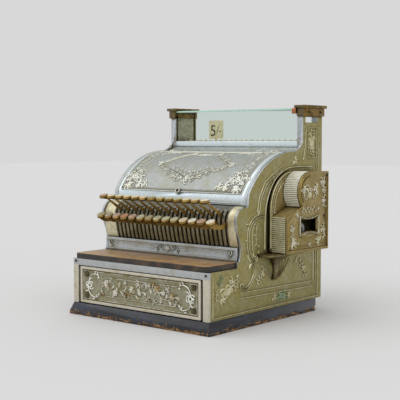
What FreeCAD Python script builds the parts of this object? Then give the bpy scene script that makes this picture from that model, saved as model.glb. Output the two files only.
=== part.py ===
"""Ticket register: an ornate press-key cash till with a ticket printer on its right side.

Millimetres. X runs to the right, Y to the back, Z up. The origin is the centre of the
plinth's underside. Places that are said to be "back from the front" are counted from the
front face of the cabinet.
"""
import FreeCAD
import Part
import math
import os

import Sketcher

doc = FreeCAD.newDocument("TicketRegister")
sheet = doc.addObject("Spreadsheet::Sheet", "Sizes")


class Size:
    """A number in millimetres or degrees, together with the sheet formula that gives it."""

    def __init__(self, value, formula):
        self.value = float(value)
        self.formula = formula

    def __add__(self, other):
        other = as_size(other)
        return Size(self.value + other.value, f"({self.formula} + {other.formula})")

    def __sub__(self, other):
        other = as_size(other)
        return Size(self.value - other.value, f"({self.formula} - {other.formula})")

    def __mul__(self, other):
        other = as_size(other)
        return Size(self.value * other.value, f"({self.formula} * {other.formula})")

    def __truediv__(self, other):
        other = as_size(other)
        return Size(self.value / other.value, f"({self.formula} / {other.formula})")

    def __neg__(self):
        return Size(-self.value, f"(0 - {self.formula})")

    def __radd__(self, other):
        return as_size(other) + self

    def __rmul__(self, other):
        return as_size(other) * self

    def __rsub__(self, other):
        return as_size(other) - self


def as_size(number):
    return number if isinstance(number, Size) else Size(number, repr(float(number)))


def size(alias, value):
    """Write one driving dimension into the sheet and return it."""
    size.row += 1
    sheet.set(f"A{size.row}", alias)
    sheet.set(f"B{size.row}", str(value))
    sheet.setAlias(f"B{size.row}", alias)
    return Size(value, f"Sizes.{alias}")


size.row = 0

# Key field, which sets the cabinet's width
key_count = size("KeyCount", 27)
key_pitch = size("KeyPitch", 12.7)
key_field_shift = size("KeyFieldShift", 7.5)
key_end_space = size("KeyEndSpace", 26.4)
casting_wall = size("CastingWall", 6)

# Plinth, front frame and counter slab
plinth_height = size("PlinthHeight", 28)
plinth_reach = size("PlinthReach", 7.8)
plinth_lip = size("PlinthLip", 7)
rear_overhang = size("RearOverhang", 23.8)
frame_thickness = size("FrameThickness", 6)
frame_stile = size("FrameStile", 16.2)
frame_rail = size("FrameRail", 14.9)
opening_height = size("OpeningHeight", 88.4)
deck_thickness = size("DeckThickness", 8)
slab_thickness = size("SlabThickness", 12.8)
slab_depth = size("SlabDepth", 97)
slab_inset = size("SlabInset", 4)
slab_corner = size("SlabCorner", 7)

# Outline of the breast, the lid and the tower, seen from the side, each step from the last
breast_step = size("BreastStep", 7)
breast_rise = size("BreastRise", 51.9)
belly_bulge = size("BellyBulge", 10)
belly_rise = size("BellyRise", 44)
belly_radius = size("BellyRadius", 75)
waist_radius = size("WaistRadius", 75)
shoulder_step = size("ShoulderStep", 35)
shoulder_rise = size("ShoulderRise", 20)
shoulder_radius = size("ShoulderRadius", 27.2)
lid_foot_step = size("LidFootStep", 7)
lid_foot_rise = size("LidFootRise", 3.5)
knee_step = size("KneeStep", 2.7)
knee_rise = size("KneeRise", 26)
lid_radius = size("LidRadius", 203)
lid_run = size("LidRun", 170.3)
lid_rise = size("LidRise", 91.2)
cove_run = size("CoveRun", 37.5)
sill_rise = size("SillRise", 23.8)
cove_radius = size("CoveRadius", 42)
tower_depth = size("TowerDepth", 69.5)
column_rise = size("ColumnRise", 58.9)
column_width = size("ColumnWidth", 16.2)
rear_thickness = size("RearThickness", 12.6)
rear_skin = size("RearSkin", 4)

# Breast moulding, key comb and keys
moulding_thickness = size("MouldingThickness", 6)
moulding_height = size("MouldingHeight", 30.4)
moulding_border = size("MouldingBorder", 5)
moulding_sink = size("MouldingSink", 1.5)
comb_thickness = size("CombThickness", 4)
comb_radius = size("CombRadius", 30)
comb_inset = size("CombInset", 2)
comb_face_radius = size("CombFaceRadius", 200)
comb_top_gap = size("CombTopGap", 1.6)
slot_width = size("SlotWidth", 5.6)
slot_drop = size("SlotDrop", 10)
lever_thickness = size("LeverThickness", 2.4)
lever_depth = size("LeverDepth", 10)
lever_entry_drop = size("LeverEntryDrop", 2.5)
lever_row_drop = size("LeverRowDrop", 7.5)
lever_cap_drop = size("LeverCapDrop", 4)
lever_cap_run = size("LeverCapRun", 20.8)
lever_dip = size("LeverDip", 2.5)
lever_foot_curve = size("LeverFootCurve", 40)
lever_top_curve = size("LeverTopCurve", 45)
lever_entry_curve = size("LeverEntryCurve", 60)
shaft_reach = size("ShaftReach", 143)
shaft_rise = size("ShaftRise", 83.7)
shaft_radius = size("ShaftRadius", 4)
hub_radius = size("HubRadius", 9)
hub_curve = size("HubCurve", 10.8)
running_fit = size("RunningFit", 0.05)
tail_reach = size("TailReach", 70)
upper_cap_reach = size("UpperCapReach", 65)
upper_cap_rise = size("UpperCapRise", 33)
lower_cap_reach = size("LowerCapReach", 60)
lower_cap_drop = size("LowerCapDrop", 12)
cap_radius = size("CapRadius", 10.4)
cap_thickness = size("CapThickness", 8)
cap_round = size("CapRound", 2.4)
upper_cap_tilt = size("UpperCapTilt", 10)
lower_cap_tilt = size("LowerCapTilt", 24)

# Lid
lid_thickness = size("LidThickness", 4.5)
lid_side_gap = size("LidSideGap", 0.6)
lid_foot_gap = size("LidFootGap", 0.6)
hinge_lead = size("HingeLead", 30)
hinge_drop = size("HingeDrop", 7.2)
hinge_radius = size("HingeRadius", 6)
rod_radius = size("RodRadius", 3)
rod_seat = size("RodSeat", 4)
deck_gap = size("DeckGap", 0.8)
deck_skin = size("DeckSkin", 4)
lock_tilt = size("LockTilt", 60)
lock_radius = size("LockRadius", 7)
lock_proud = size("LockProud", 4)
lock_length = size("LockLength", 16)
key_way_width = size("KeyWayWidth", 2)
key_way_depth = size("KeyWayDepth", 5)

# Indicator window
sill_depth = size("SillDepth", 9)
sill_drop = size("SillDrop", 14.1)
pane_thickness = size("PaneThickness", 3)
pane_set = size("PaneSet", 3)
top_pane_thickness = size("TopPaneThickness", 4)
peep_length = size("PeepLength", 50)
peep_height = size("PeepHeight", 13)
peep_drop = size("PeepDrop", 2)
peep_set = size("PeepSet", 10.5)
cap_block_height = size("CapBlockHeight", 18.6)
cap_block_reach = size("CapBlockReach", 4)
cap_plate_height = size("CapPlateHeight", 7)
cap_plate_reach = size("CapPlateReach", 8.3)
clip_width = size("ClipWidth", 11)
clip_height = size("ClipHeight", 13)
clip_depth = size("ClipDepth", 8)

# Price tablets
tablet_margin = size("TabletMargin", 4.6)
tablet_gap = size("TabletGap", 3.6)
tablet_height = size("TabletHeight", 46)
tablet_thickness = size("TabletThickness", 1.2)
tablet_rise = size("TabletRise", 51)
tablet_show = size("TabletShow", 1.5)
tablet_row_set = size("TabletRowSet", 27.5)
tablet_row_pitch = size("TabletRowPitch", 6)
tablet_rows = size("TabletRows", 4)
tablet_tip = size("TabletTip", 3)
stem_width = size("StemWidth", 7)
stem_length = size("StemLength", 56)
guide_thickness = size("GuideThickness", 4)
guide_gap = size("GuideGap", 0.4)
guide_margin = size("GuideMargin", 3)
rest_thickness = size("RestThickness", 6)
raised_place = size("RaisedPlace", 6)

# Drawer
drawer_side_gap = size("DrawerSideGap", 6.3)
drawer_top_gap = size("DrawerTopGap", 1.9)
drawer_foot_gap = size("DrawerFootGap", 1.8)
drawer_front_thickness = size("DrawerFrontThickness", 8)
drawer_border = size("DrawerBorder", 6.5)
drawer_sink = size("DrawerSink", 2.5)
runner_height = size("RunnerHeight", 5)
runner_width = size("RunnerWidth", 14)
runner_inset = size("RunnerInset", 41)
slide_gap = size("SlideGap", 0.2)
box_depth = size("BoxDepth", 362)
box_top_gap = size("BoxTopGap", 13.2)
box_side_gap = size("BoxSideGap", 1.5)
box_wall = size("BoxWall", 9)
box_floor = size("BoxFloor", 7)
cup_count = size("CupCount", 5)
cup_length = size("CupLength", 130)
bin_count = size("BinCount", 2)

# Mechanism
plate_thickness = size("PlateThickness", 6)
plate_clearance = size("PlateClearance", 7.4)
plate_front_reach = size("PlateFrontReach", 80)
plate_rear_reach = size("PlateRearReach", 80)
plate_waist = size("PlateWaist", 100)
plate_neck = size("PlateNeck", 17)
tally_lead = size("TallyLead", 22)
tally_rise = size("TallyRise", 85)
tally_shaft_radius = size("TallyShaftRadius", 5)
tally_wheel_radius = size("TallyWheelRadius", 18)
tally_wheel_width = size("TallyWheelWidth", 7)
tally_wheel_pitch = size("TallyWheelPitch", 22)
tally_wheel_count = size("TallyWheelCount", 15)
bell_radius = size("BellRadius", 27)
bell_skin = size("BellSkin", 2)
bell_height = size("BellHeight", 16)
bell_post_radius = size("BellPostRadius", 4)
bell_post_height = size("BellPostHeight", 18)
bell_lead = size("BellLead", 60)

# Ticket printer
printer_gap = size("PrinterGap", 3)
flange_thickness = size("FlangeThickness", 5)
flange_lead = size("FlangeLead", 6)
flange_foot_rise = size("FlangeFootRise", 3.5)
flange_spring_rise = size("FlangeSpringRise", 82)
flange_arch_run = size("FlangeArchRun", 77.5)
flange_top_rise = size("FlangeTopRise", 2)
flange_radius = size("FlangeRadius", 88)
flange_inset = size("FlangeInset", 5)
printer_set = size("PrinterSet", 210.5)
printer_foot = size("PrinterFoot", 154.5)
printer_depth = size("PrinterDepth", 168.5)
printer_step_rise = size("PrinterStepRise", 81.5)
notch_run = size("NotchRun", 60.5)
notch_rise = size("NotchRise", 20)
drum_run = size("DrumRun", 31)
drum_rise = size("DrumRise", 34)
drum_radius = size("DrumRadius", 45)
printer_width = size("PrinterWidth", 38)
printer_wall = size("PrinterWall", 4)
cover_thickness = size("CoverThickness", 5)
ticket_window_run = size("TicketWindowRun", 51.7)
ticket_window_length = size("TicketWindowLength", 69.5)
ticket_window_rise = size("TicketWindowRise", 42)
ticket_window_height = size("TicketWindowHeight", 35)
ticket_window_bow = size("TicketWindowBow", 150)
ticket_window_end_bow = size("TicketWindowEndBow", 50)
spindle_radius = size("SpindleRadius", 3)
spindle_run = size("SpindleRun", 18.8)
spindle_rise = size("SpindleRise", 10.5)
spindle_seat = size("SpindleSeat", 4)
wheel_end_gap = size("WheelEndGap", 1)
type_wheel_radius = size("TypeWheelRadius", 12)
type_wheel_width = size("TypeWheelWidth", 5)
type_wheel_pitch = size("TypeWheelPitch", 6)
type_wheel_count = size("TypeWheelCount", 4)
shelf_lead = size("ShelfLead", 42)
shelf_length = size("ShelfLength", 130)
shelf_thickness = size("ShelfThickness", 5)
bracket_width = size("BracketWidth", 34)
leg_front_margin = size("LegFrontMargin", 26)
leg_rear_margin = size("LegRearMargin", 3)
leg_run = size("LegRun", 61)
leg_drop = size("LegDrop", 56)
leg_curve = size("LegCurve", 56)
leg_front_curve = size("LegFrontCurve", 36)
leg_tip = size("LegTip", 14)
leg_reach = size("LegReach", 30)
leg_tip_reach = size("LegTipReach", 9)

# Fasteners
screw_radius = size("ScrewRadius", 2.6)
screw_head = size("ScrewHead", 1.6)
screw_margin = size("ScrewMargin", 8.3)
cap_screw_margin = size("CapScrewMargin", 18.6)

# How far a cutting shape runs past the faces that it opens
overshoot = size("Overshoot", 1)

doc.recompute()

# Widths and depths
inner_half = key_pitch * (key_count - 1) / 2 + key_field_shift + key_end_space
half_width = inner_half + casting_wall
opening_half = half_width - frame_stile
window_half = half_width - column_width
breast_set = slab_depth + breast_step
shoulder_set = breast_set + shoulder_step - belly_bulge
lid_foot_set = shoulder_set + lid_foot_step
lid_knee_set = lid_foot_set + knee_step
roof_set = lid_knee_set + lid_run
tower_set = roof_set + cove_run
hinge_set = roof_set - hinge_lead
cabinet_depth = tower_set + tower_depth
plinth_depth = plinth_reach + cabinet_depth - rear_overhang
front = plinth_reach - plinth_depth / 2
rear_inner = front + cabinet_depth
rear_outer = rear_inner + rear_thickness

# Heights
case_height = plinth_height + opening_height + frame_rail
slab_top = case_height + slab_thickness
moulding_top = slab_top + moulding_height
breast_height = slab_top + breast_rise
belly_height = breast_height + belly_rise
shoulder_height = belly_height + shoulder_rise
lid_foot_height = shoulder_height + lid_foot_rise
lid_knee_height = lid_foot_height + knee_rise
roof_height = lid_knee_height + lid_rise
sill_height = roof_height + sill_rise
tower_height = sill_height + column_rise
cap_split = tower_height + cap_block_height
pane_top = cap_split - top_pane_thickness


def back(distance):
    """A place this far back from the front face of the cabinet."""
    return front + distance


comb_front = back(breast_set) + moulding_thickness / 2
comb_belly = back(breast_set) - belly_bulge + comb_inset


def bind(item, path, amount):
    item.setExpression(path, as_size(amount).formula)


def line(across, up):
    return ("line", as_size(across), as_size(up), None)


def arc(across, up, radius):
    """An arc that ends here; a positive radius turns left on the way, a negative one right."""
    return ("arc", as_size(across), as_size(up), radius)


def circle(across, up, radius):
    return ("circle", as_size(across), as_size(up), as_size(radius))


def arc_through(start, end, radius):
    """The arc from start to end, as Part geometry, with its centre left or right of the way."""
    chord = end - start
    half = chord.Length / 2
    reach = math.sqrt(max(radius * radius - half * half, 0))
    left = FreeCAD.Vector(-chord.y, chord.x, 0).normalize()
    turn = 1 if radius > 0 else -1
    centre = (start + end) / 2 + left * reach * turn
    middle = centre - left * abs(radius) * turn
    return Part.Arc(start, middle, end)


def hold_point(sketch, edge, corner, across, up):
    """Fix one point of a sketch at a place that the sheet gives."""
    for kind, amount in (("DistanceX", across), ("DistanceY", up)):
        index = sketch.addConstraint(Sketcher.Constraint(kind, edge, corner, amount.value))
        bind(sketch, f"Constraints[{index}]", amount)


def hold_radius(sketch, edge, radius):
    magnitude = radius if radius.value > 0 else -radius
    index = sketch.addConstraint(Sketcher.Constraint("Radius", edge, magnitude.value))
    bind(sketch, f"Constraints[{index}]", magnitude)


def draw_loop(sketch, steps):
    """Draw one closed outline through its corners; each step says how its corner is reached."""
    first = sketch.GeometryCount
    corners = [FreeCAD.Vector(step[1].value, step[2].value, 0) for step in steps]
    directions = []
    for index, (kind, across, up, radius) in enumerate(steps):
        start, end = corners[index - 1], corners[index]
        if kind == "line":
            sketch.addGeometry(Part.LineSegment(start, end), False)
            directions.append((1, 2))
            continue
        sketch.addGeometry(arc_through(start, end, radius.value), False)
        counter_clockwise = radius.value > 0
        directions.append((1, 2) if counter_clockwise else (2, 1))
    for index, (kind, across, up, radius) in enumerate(steps):
        following = (index + 1) % len(steps)
        sketch.addConstraint(Sketcher.Constraint(
            "Coincident", first + index, directions[index][1],
            first + following, directions[following][0]))
        hold_point(sketch, first + index, directions[index][1], across, up)
        if kind == "arc":
            hold_radius(sketch, first + index, radius)


def draw_circle(sketch, across, up, radius):
    centre = FreeCAD.Vector(across.value, up.value, 0)
    edge = sketch.addGeometry(Part.Circle(centre, FreeCAD.Vector(0, 0, 1), radius.value), False)
    hold_point(sketch, edge, 3, across, up)
    hold_radius(sketch, edge, radius)


NORMALS = {"YZ_Plane": 1, "XZ_Plane": -1, "XY_Plane": 1}


def new_body(label):
    body = doc.addObject("PartDesign::Body", label)
    body.Label = label
    return body


def new_sketch(body, plane, level, loops):
    """A sketch on one of the body's own origin planes, moved along X, Y or Z to its level."""
    sketch = body.newObject("Sketcher::SketchObject", "Outline")
    role = [feature for feature in body.Origin.OriginFeatures if feature.Role == plane]
    sketch.AttachmentSupport = [(role[0], "")]
    sketch.MapMode = "FlatFace"
    bind(sketch, "AttachmentOffset.Base.z", as_size(level) * NORMALS[plane])
    for loop in loops:
        if isinstance(loop, tuple):
            draw_circle(sketch, *loop[1:])
        else:
            draw_loop(sketch, loop)
    return sketch


def add_prism(body, plane, start, end, *loops):
    """Pad the outlines from one level to a higher one along the plane's axis."""
    pad = body.newObject("PartDesign::Pad", "Pad")
    pad.Profile = new_sketch(body, plane, start, loops)
    bind(pad, "Length", as_size(end) - start)
    pad.Reversed = NORMALS[plane] < 0
    return pad


def cut_prism(body, plane, start, end, *loops):
    """Pocket the outlines from one level to a higher one along the plane's axis."""
    doc.recompute()
    before = body.Shape.Volume
    pocket = body.newObject("PartDesign::Pocket", "Pocket")
    pocket.Profile = new_sketch(body, plane, start, loops)
    bind(pocket, "Length", as_size(end) - start)
    pocket.Reversed = NORMALS[plane] > 0
    doc.recompute()
    if body.Shape.Volume >= before:
        raise RuntimeError(f"{body.Label}: the pocket cuts nothing")
    return pocket


def rectangle(across_low, across_high, up_low, up_high):
    return [line(across_low, up_low), line(across_high, up_low),
            line(across_high, up_high), line(across_low, up_high)]


def place(item, across, back_to, up):
    for axis, amount in zip("xyz", (across, back_to, up)):
        bind(item, f"Placement.Base.{axis}", amount)


def block(label, low, high):
    """A box between two opposite corners."""
    item = doc.addObject("Part::Box", label)
    item.Label = label
    low = [as_size(amount) for amount in low]
    for side, amount, other in zip(("Length", "Width", "Height"), high, low):
        bind(item, side, as_size(amount) - other)
    place(item, *low)
    return item


def rod(label, start, radius, length, turn_axis=None, turn=0):
    """A cylinder from its start centre along Z, or along the axis that the turn gives."""
    item = doc.addObject("Part::Cylinder", label)
    item.Label = label
    bind(item, "Radius", radius)
    bind(item, "Height", length)
    if turn_axis:
        item.Placement = FreeCAD.Placement(
            FreeCAD.Vector(), FreeCAD.Rotation(FreeCAD.Vector(*turn_axis), turn))
    place(item, *start)
    return item


ALONG_X = {"turn_axis": (0, 1, 0), "turn": 90}


def join(label, kind, *items):
    """Part::Cut takes a base and a tool; fusions, commons and compounds take any number."""
    item = doc.addObject(kind, label)
    item.Label = label
    if kind == "Part::Cut":
        item.Base, item.Tool = items
    elif kind == "Part::Compound":
        item.Links = list(items)
    else:
        item.Shapes = list(items)
    return item


def group(label, *items):
    return join(label, "Part::Compound", *items)


def fuse(label, *items):
    return join(label, "Part::MultiFuse", *items)


def cut(label, base, tool):
    return join(label, "Part::Cut", base, tool)


# Where the curved outlines of the two side castings and of the pieces between them run

lid_foot = (back(lid_foot_set), lid_foot_height)
lid_knee = (back(lid_knee_set), lid_knee_height)
roof_end = (back(roof_set), roof_height)


def casting_outline():
    """Side view of a casting: step, breast, shoulder, lid curve, cove and tower."""
    return [
        line(back(frame_thickness), plinth_height),
        line(rear_inner, plinth_height),
        line(rear_inner, tower_height),
        line(back(tower_set), tower_height),
        line(back(tower_set), sill_height),
        arc(*roof_end, -cove_radius),
        arc(*lid_knee, lid_radius),
        line(*lid_foot),
        line(back(shoulder_set), shoulder_height),
        arc(back(breast_set) - belly_bulge, belly_height, shoulder_radius),
        arc(back(breast_set), breast_height, belly_radius),
        arc(back(breast_set), slab_top, -waist_radius),
        line(back(slab_depth), slab_top),
        line(back(slab_depth), case_height),
        line(back(frame_thickness), case_height),
    ]


def make_side(label, sign):
    """A side casting with its window column; sign is 1 on the right and -1 on the left.

    Only the right column has a slot through which the tablets show from the side.
    """
    def span(nearer, farther):
        return (nearer, farther) if sign > 0 else (-farther, -nearer)

    body = new_body(label)
    add_prism(body, "YZ_Plane", *span(inner_half, half_width), casting_outline())
    add_prism(body, "YZ_Plane", *span(window_half, inner_half),
              rectangle(back(tower_set), rear_inner, sill_height - sill_drop, tower_height))
    if sign > 0:
        peep_top = tower_height - peep_drop
        peep_start = back(tower_set) + peep_set
        cut_prism(body, "YZ_Plane", *span(window_half, half_width),
                  rectangle(peep_start, peep_start + peep_length, peep_top - peep_height, peep_top))
    cut_prism(body, "YZ_Plane", *span(inner_half, inner_half + rod_seat),
              circle(back(hinge_set), roof_height - hinge_drop, rod_radius))
    return body


def make_plinth():
    lip = block("PlinthLipBlock",
                (-half_width - plinth_reach, -plinth_depth / 2, 0),
                (half_width + plinth_reach, plinth_depth / 2, plinth_lip))
    slope = doc.addObject("Part::Wedge", "PlinthSlope")
    slope.Placement = FreeCAD.Placement(
        FreeCAD.Vector(), FreeCAD.Rotation(FreeCAD.Vector(1, 0, 0), 90))
    bind(slope, "Xmin", -half_width - plinth_reach)
    bind(slope, "Xmax", half_width + plinth_reach)
    bind(slope, "X2min", -half_width)
    bind(slope, "X2max", half_width)
    bind(slope, "Ymin", 0)
    bind(slope, "Ymax", plinth_height - plinth_lip)
    bind(slope, "Zmin", -plinth_depth / 2)
    bind(slope, "Z2min", -plinth_depth / 2)
    bind(slope, "Zmax", plinth_depth / 2)
    bind(slope, "Z2max", -front)
    place(slope, 0, 0, plinth_lip)
    tail = block("PlinthTail", (-inner_half, plinth_depth / 2, plinth_lip),
                 (inner_half, rear_inner, plinth_height))
    return fuse("plinth", lip, slope, tail)


def make_front_frame():
    face = block("FrameFace", (-half_width, front, plinth_height),
                 (half_width, back(frame_thickness), case_height))
    opening = block("FrameOpening", (-opening_half, front - overshoot, plinth_height - overshoot),
                    (opening_half, back(frame_thickness) + overshoot,
                     plinth_height + opening_height))
    return cut("front_frame", face, opening)


def make_rear_cover():
    body = new_body("rear_cover")
    add_prism(body, "XZ_Plane", rear_inner, rear_outer,
              rectangle(-half_width, half_width, plinth_height, tower_height))
    cut_prism(body, "XZ_Plane", rear_inner, rear_outer,
              rectangle(-window_half, window_half, sill_height, tower_height))
    cut_prism(body, "XZ_Plane", rear_inner, rear_outer - rear_skin,
              rectangle(-inner_half, inner_half, plinth_height + casting_wall,
                        sill_height - sill_drop))
    return body


def make_counter_slab():
    """Board on the drawer case, with a tongue between the castings for moulding and comb."""
    body = new_body("counter_slab")
    side = half_width - slab_inset
    tongue = comb_front + comb_thickness
    add_prism(body, "XY_Plane", case_height, slab_top, [
        line(-side + slab_corner, front), line(side - slab_corner, front),
        line(side, front + slab_corner), line(side, back(slab_depth)),
        line(inner_half, back(slab_depth)), line(inner_half, tongue),
        line(-inner_half, tongue), line(-inner_half, back(slab_depth)),
        line(-side, back(slab_depth)), line(-side, front + slab_corner)])
    return body


def make_deck():
    return block("mechanism_deck",
                 (-inner_half, back(frame_thickness), case_height - deck_thickness),
                 (inner_half, rear_inner, case_height))


def make_breast_moulding():
    body = new_body("breast_moulding")
    add_prism(body, "XZ_Plane", comb_front - moulding_thickness, comb_front,
              rectangle(-inner_half, inner_half, slab_top, moulding_top))
    cut_prism(body, "XZ_Plane", comb_front - moulding_thickness,
              comb_front - moulding_thickness + moulding_sink,
              rectangle(moulding_border - inner_half, inner_half - moulding_border,
                        slab_top + moulding_border, moulding_top - moulding_border))
    return body


def key_place(index):
    """Distance of a key's lever from the middle of the cabinet."""
    return key_field_shift + key_pitch * (index - (key_count - 1) / 2)


def make_key_comb():
    """Slotted plate that leans out to the belly and sweeps back to the foot of the lid."""
    sweep_top = lid_foot_height - comb_top_gap
    belly = belly_height - comb_thickness
    body = new_body("key_comb")
    add_prism(body, "YZ_Plane", -inner_half, inner_half, [
        line(comb_front, slab_top), line(comb_front + comb_thickness, slab_top),
        line(comb_front + comb_thickness, moulding_top),
        arc(comb_belly + comb_thickness, belly, -(comb_face_radius - comb_thickness)),
        arc(back(lid_foot_set), sweep_top - comb_thickness, -comb_radius),
        line(back(lid_foot_set), sweep_top),
        arc(comb_belly, belly, comb_radius + comb_thickness),
        arc(comb_front, moulding_top, comb_face_radius)])
    slot = cut_prism(body, "XZ_Plane", comb_belly - overshoot,
                     back(lid_foot_set) - comb_thickness,
                     rectangle(key_place(0) - slot_width / 2, key_place(0) + slot_width / 2,
                               moulding_top, lid_foot_height - slot_drop))
    pattern = body.newObject("PartDesign::LinearPattern", "SlotRow")
    pattern.Originals = [slot]
    pattern.Direction = (slot.Profile[0], ["H_Axis"])
    pattern.Occurrences = int(key_count.value)
    bind(pattern, "Occurrences", key_count)
    bind(pattern, "Length", key_pitch * (key_count - 1))
    body.Tip = pattern
    return body


def make_cap(name, across, back_to, up, tilt):
    """Round key cap, tilted towards the operator; its place is the centre of its underside."""
    cap = new_body(name)
    sketch = new_sketch(cap, "XZ_Plane", 0, [[
        line(0, 0), line(cap_radius - cap_round, 0),
        arc(cap_radius, cap_round, cap_round),
        line(cap_radius, cap_thickness - cap_round),
        arc(cap_radius - cap_round, cap_thickness, cap_round),
        line(0, cap_thickness)]])
    turned = cap.newObject("PartDesign::Revolution", "Turned")
    turned.Profile = sketch
    turned.ReferenceAxis = (sketch, ["V_Axis"])
    turned.Angle = 360
    cap.Placement = FreeCAD.Placement(
        FreeCAD.Vector(), FreeCAD.Rotation(FreeCAD.Vector(1, 0, 0), tilt.value))
    bind(cap, "Placement.Rotation.Angle", tilt)
    place(cap, across, back_to, up)
    return cap


upper_cap = (comb_front - upper_cap_reach, belly_height + upper_cap_rise, upper_cap_tilt)
lower_cap = (comb_front - lower_cap_reach, belly_height - lower_cap_drop, lower_cap_tilt)
shaft_axis = (comb_front + shaft_reach, case_height + shaft_rise)
tally_axis = (shaft_axis[0] - tally_lead, shaft_axis[1] + tally_rise)


def along_cap(cap, distance):
    """A point of the cap's tilted underside, this far behind its centre."""
    across, up, tilt = cap
    angle = math.radians(tilt.value)
    run = Size(distance.value * math.cos(angle), f"{distance.formula} * cos({tilt.formula} * 1deg)")
    rise = Size(distance.value * math.sin(angle), f"{distance.formula} * sin({tilt.formula} * 1deg)")
    return across + run, up + rise


def lever_inside(entry_height):
    """The hidden half of every lever: from the comb to its hub and on to its tail."""
    across, up = shaft_axis
    half = lever_depth / 2
    tail = across + tail_reach
    return [
        line(across - hub_radius, up - half), arc(across + hub_radius, up - half, hub_curve),
        line(tail, up - half), line(tail, up + half), line(across + hub_radius, up + half),
        arc(across - hub_radius, up + half, hub_curve), line(comb_front, entry_height + half),
    ]


def upper_lever():
    """Rises forward from the comb and carries its cap over the lower row."""
    entry = belly_height - lever_entry_drop
    return [
        line(comb_front, entry - lever_depth / 2), *lever_inside(entry),
        line(*along_cap(upper_cap, cap_radius - cap_round)),
        line(*along_cap(upper_cap, cap_round - cap_radius)),
        line(upper_cap[0] + cap_radius, upper_cap[1] - lever_cap_drop)]


def lower_lever():
    """Dips below its cap and curves up again into the comb."""
    entry = belly_height - lever_entry_drop - lever_row_drop
    dip = lower_cap[0] + lever_cap_run
    return [
        arc(comb_front, entry - lever_depth / 2, lever_entry_curve), *lever_inside(entry),
        arc(dip, lower_cap[1] - lever_dip, -lever_top_curve),
        line(*along_cap(lower_cap, cap_radius - cap_round)),
        line(*along_cap(lower_cap, cap_round - cap_radius)),
        arc(dip, lower_cap[1] - lever_dip - lever_depth, lever_foot_curve)]


def make_key(index):
    """One key: a flat lever on the shaft and the cap on its front end."""
    label = f"key_{index + 1:02d}"
    across = key_place(index)
    lever = new_body(f"{label}_lever")
    upper = index % 2 == 1
    outline, cap_at = (upper_lever(), upper_cap) if upper else (lower_lever(), lower_cap)
    add_prism(lever, "YZ_Plane", across - lever_thickness / 2, across + lever_thickness / 2,
              outline, circle(*shaft_axis, shaft_radius + running_fit))
    return group(label, lever, make_cap(f"{label}_cap", across, *cap_at))


def make_top_deck():
    start = back(hinge_set) + hinge_radius + deck_gap
    body = new_body("top_deck")
    foot = sill_height - sill_drop
    add_prism(body, "YZ_Plane", -inner_half, inner_half, [
        line(start, roof_height), line(start, roof_height - deck_skin),
        line(back(roof_set) + deck_skin, roof_height - deck_skin),
        line(back(tower_set), roof_height - deck_skin),
        line(back(tower_set), foot),
        arc(*roof_end, -cove_radius)])
    return body


def make_window_sill():
    body = new_body("window_sill")
    add_prism(body, "YZ_Plane", -window_half, window_half,
              rectangle(back(tower_set), back(tower_set) + sill_depth,
                        sill_height - sill_drop, sill_height))
    return body


front_pane = back(tower_set) + pane_set
rear_pane = rear_outer - pane_set * 2 - pane_thickness


def make_glass():
    panes = [block(f"{name}Pane", (-window_half, start, sill_height),
                   (window_half, start + pane_thickness, pane_top))
             for name, start in (("Front", front_pane), ("Rear", rear_pane))]
    top = block("top_glass", (-window_half, back(tower_set), pane_top),
                (window_half, rear_outer, pane_top + top_pane_thickness))
    return [group("window_glass", *panes), top]


def make_column_caps():
    """Two stepped caps that sit on the columns and clamp the top pane's ends."""
    caps = []
    for name, sign in (("Left", -1), ("Right", 1)):
        inner = window_half * sign
        outer = (half_width + cap_block_reach) * sign
        low, high = (inner, outer) if sign > 0 else (outer, inner)
        base = block(f"{name}CapBlock",
                     (low, back(tower_set) - cap_block_reach, tower_height),
                     (high, rear_outer + cap_block_reach, cap_split))
        inner = (window_half - cap_block_reach) * sign
        outer = (half_width + cap_plate_reach) * sign
        low, high = (inner, outer) if sign > 0 else (outer, inner)
        plate = block(f"{name}CapPlate",
                      (low, back(tower_set) - cap_plate_reach, cap_split),
                      (high, rear_outer + cap_plate_reach, cap_split + cap_plate_height))
        caps.append(fuse(f"{name}Cap", base, plate))
    return group("column_caps", *caps)


def make_glass_clip():
    return block("glass_clip",
                 (window_half - clip_width, back(tower_set) - clip_depth,
                  cap_split - clip_height),
                 (window_half, back(tower_set), cap_split))


hinge_axis = (back(hinge_set), roof_height - hinge_drop)


def lid_outline():
    """Curved shell from the shoulder to the crown of the hinge barrel."""
    foot = lid_foot_height + lid_foot_gap
    crown = hinge_axis[1] + hinge_radius
    return [
        line(back(lid_foot_set), foot), line(back(lid_foot_set) + lid_thickness, foot),
        line(lid_knee[0] + lid_thickness, lid_knee_height),
        arc(hinge_axis[0], crown - lid_thickness, -(lid_radius - lid_thickness)),
        line(hinge_axis[0], crown),
        arc(*lid_knee, lid_radius)]


def lock_point(distance):
    """A point on the lock's axis, this far inside the lid's face."""
    turn = f"({lock_tilt.formula} * 1deg)"
    angle = math.radians(lock_tilt.value)
    inward = Size(distance.value * math.sin(angle), f"{distance.formula} * sin{turn}")
    down = Size(distance.value * math.cos(angle), f"{distance.formula} * cos{turn}")
    return (as_size(0), lid_knee[0] + inward, lid_knee[1] - down)


def lock_barrel(label, radius, length):
    barrel = rod(label, lock_point(length - lock_proud), radius, length,
                 (1, 0, 0), lock_tilt.value)
    bind(barrel, "Placement.Rotation.Angle", lock_tilt)
    return barrel


def make_lid():
    side = inner_half - lid_side_gap
    body = new_body("LidShell")
    add_prism(body, "YZ_Plane", -side, side, lid_outline())
    add_prism(body, "YZ_Plane", -side, side, circle(*hinge_axis, hinge_radius))
    cut_prism(body, "YZ_Plane", -side, side, circle(*hinge_axis, rod_radius + running_fit))
    return cut("lid", body, lock_barrel("LockBore", lock_radius + running_fit, lock_length))


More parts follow.
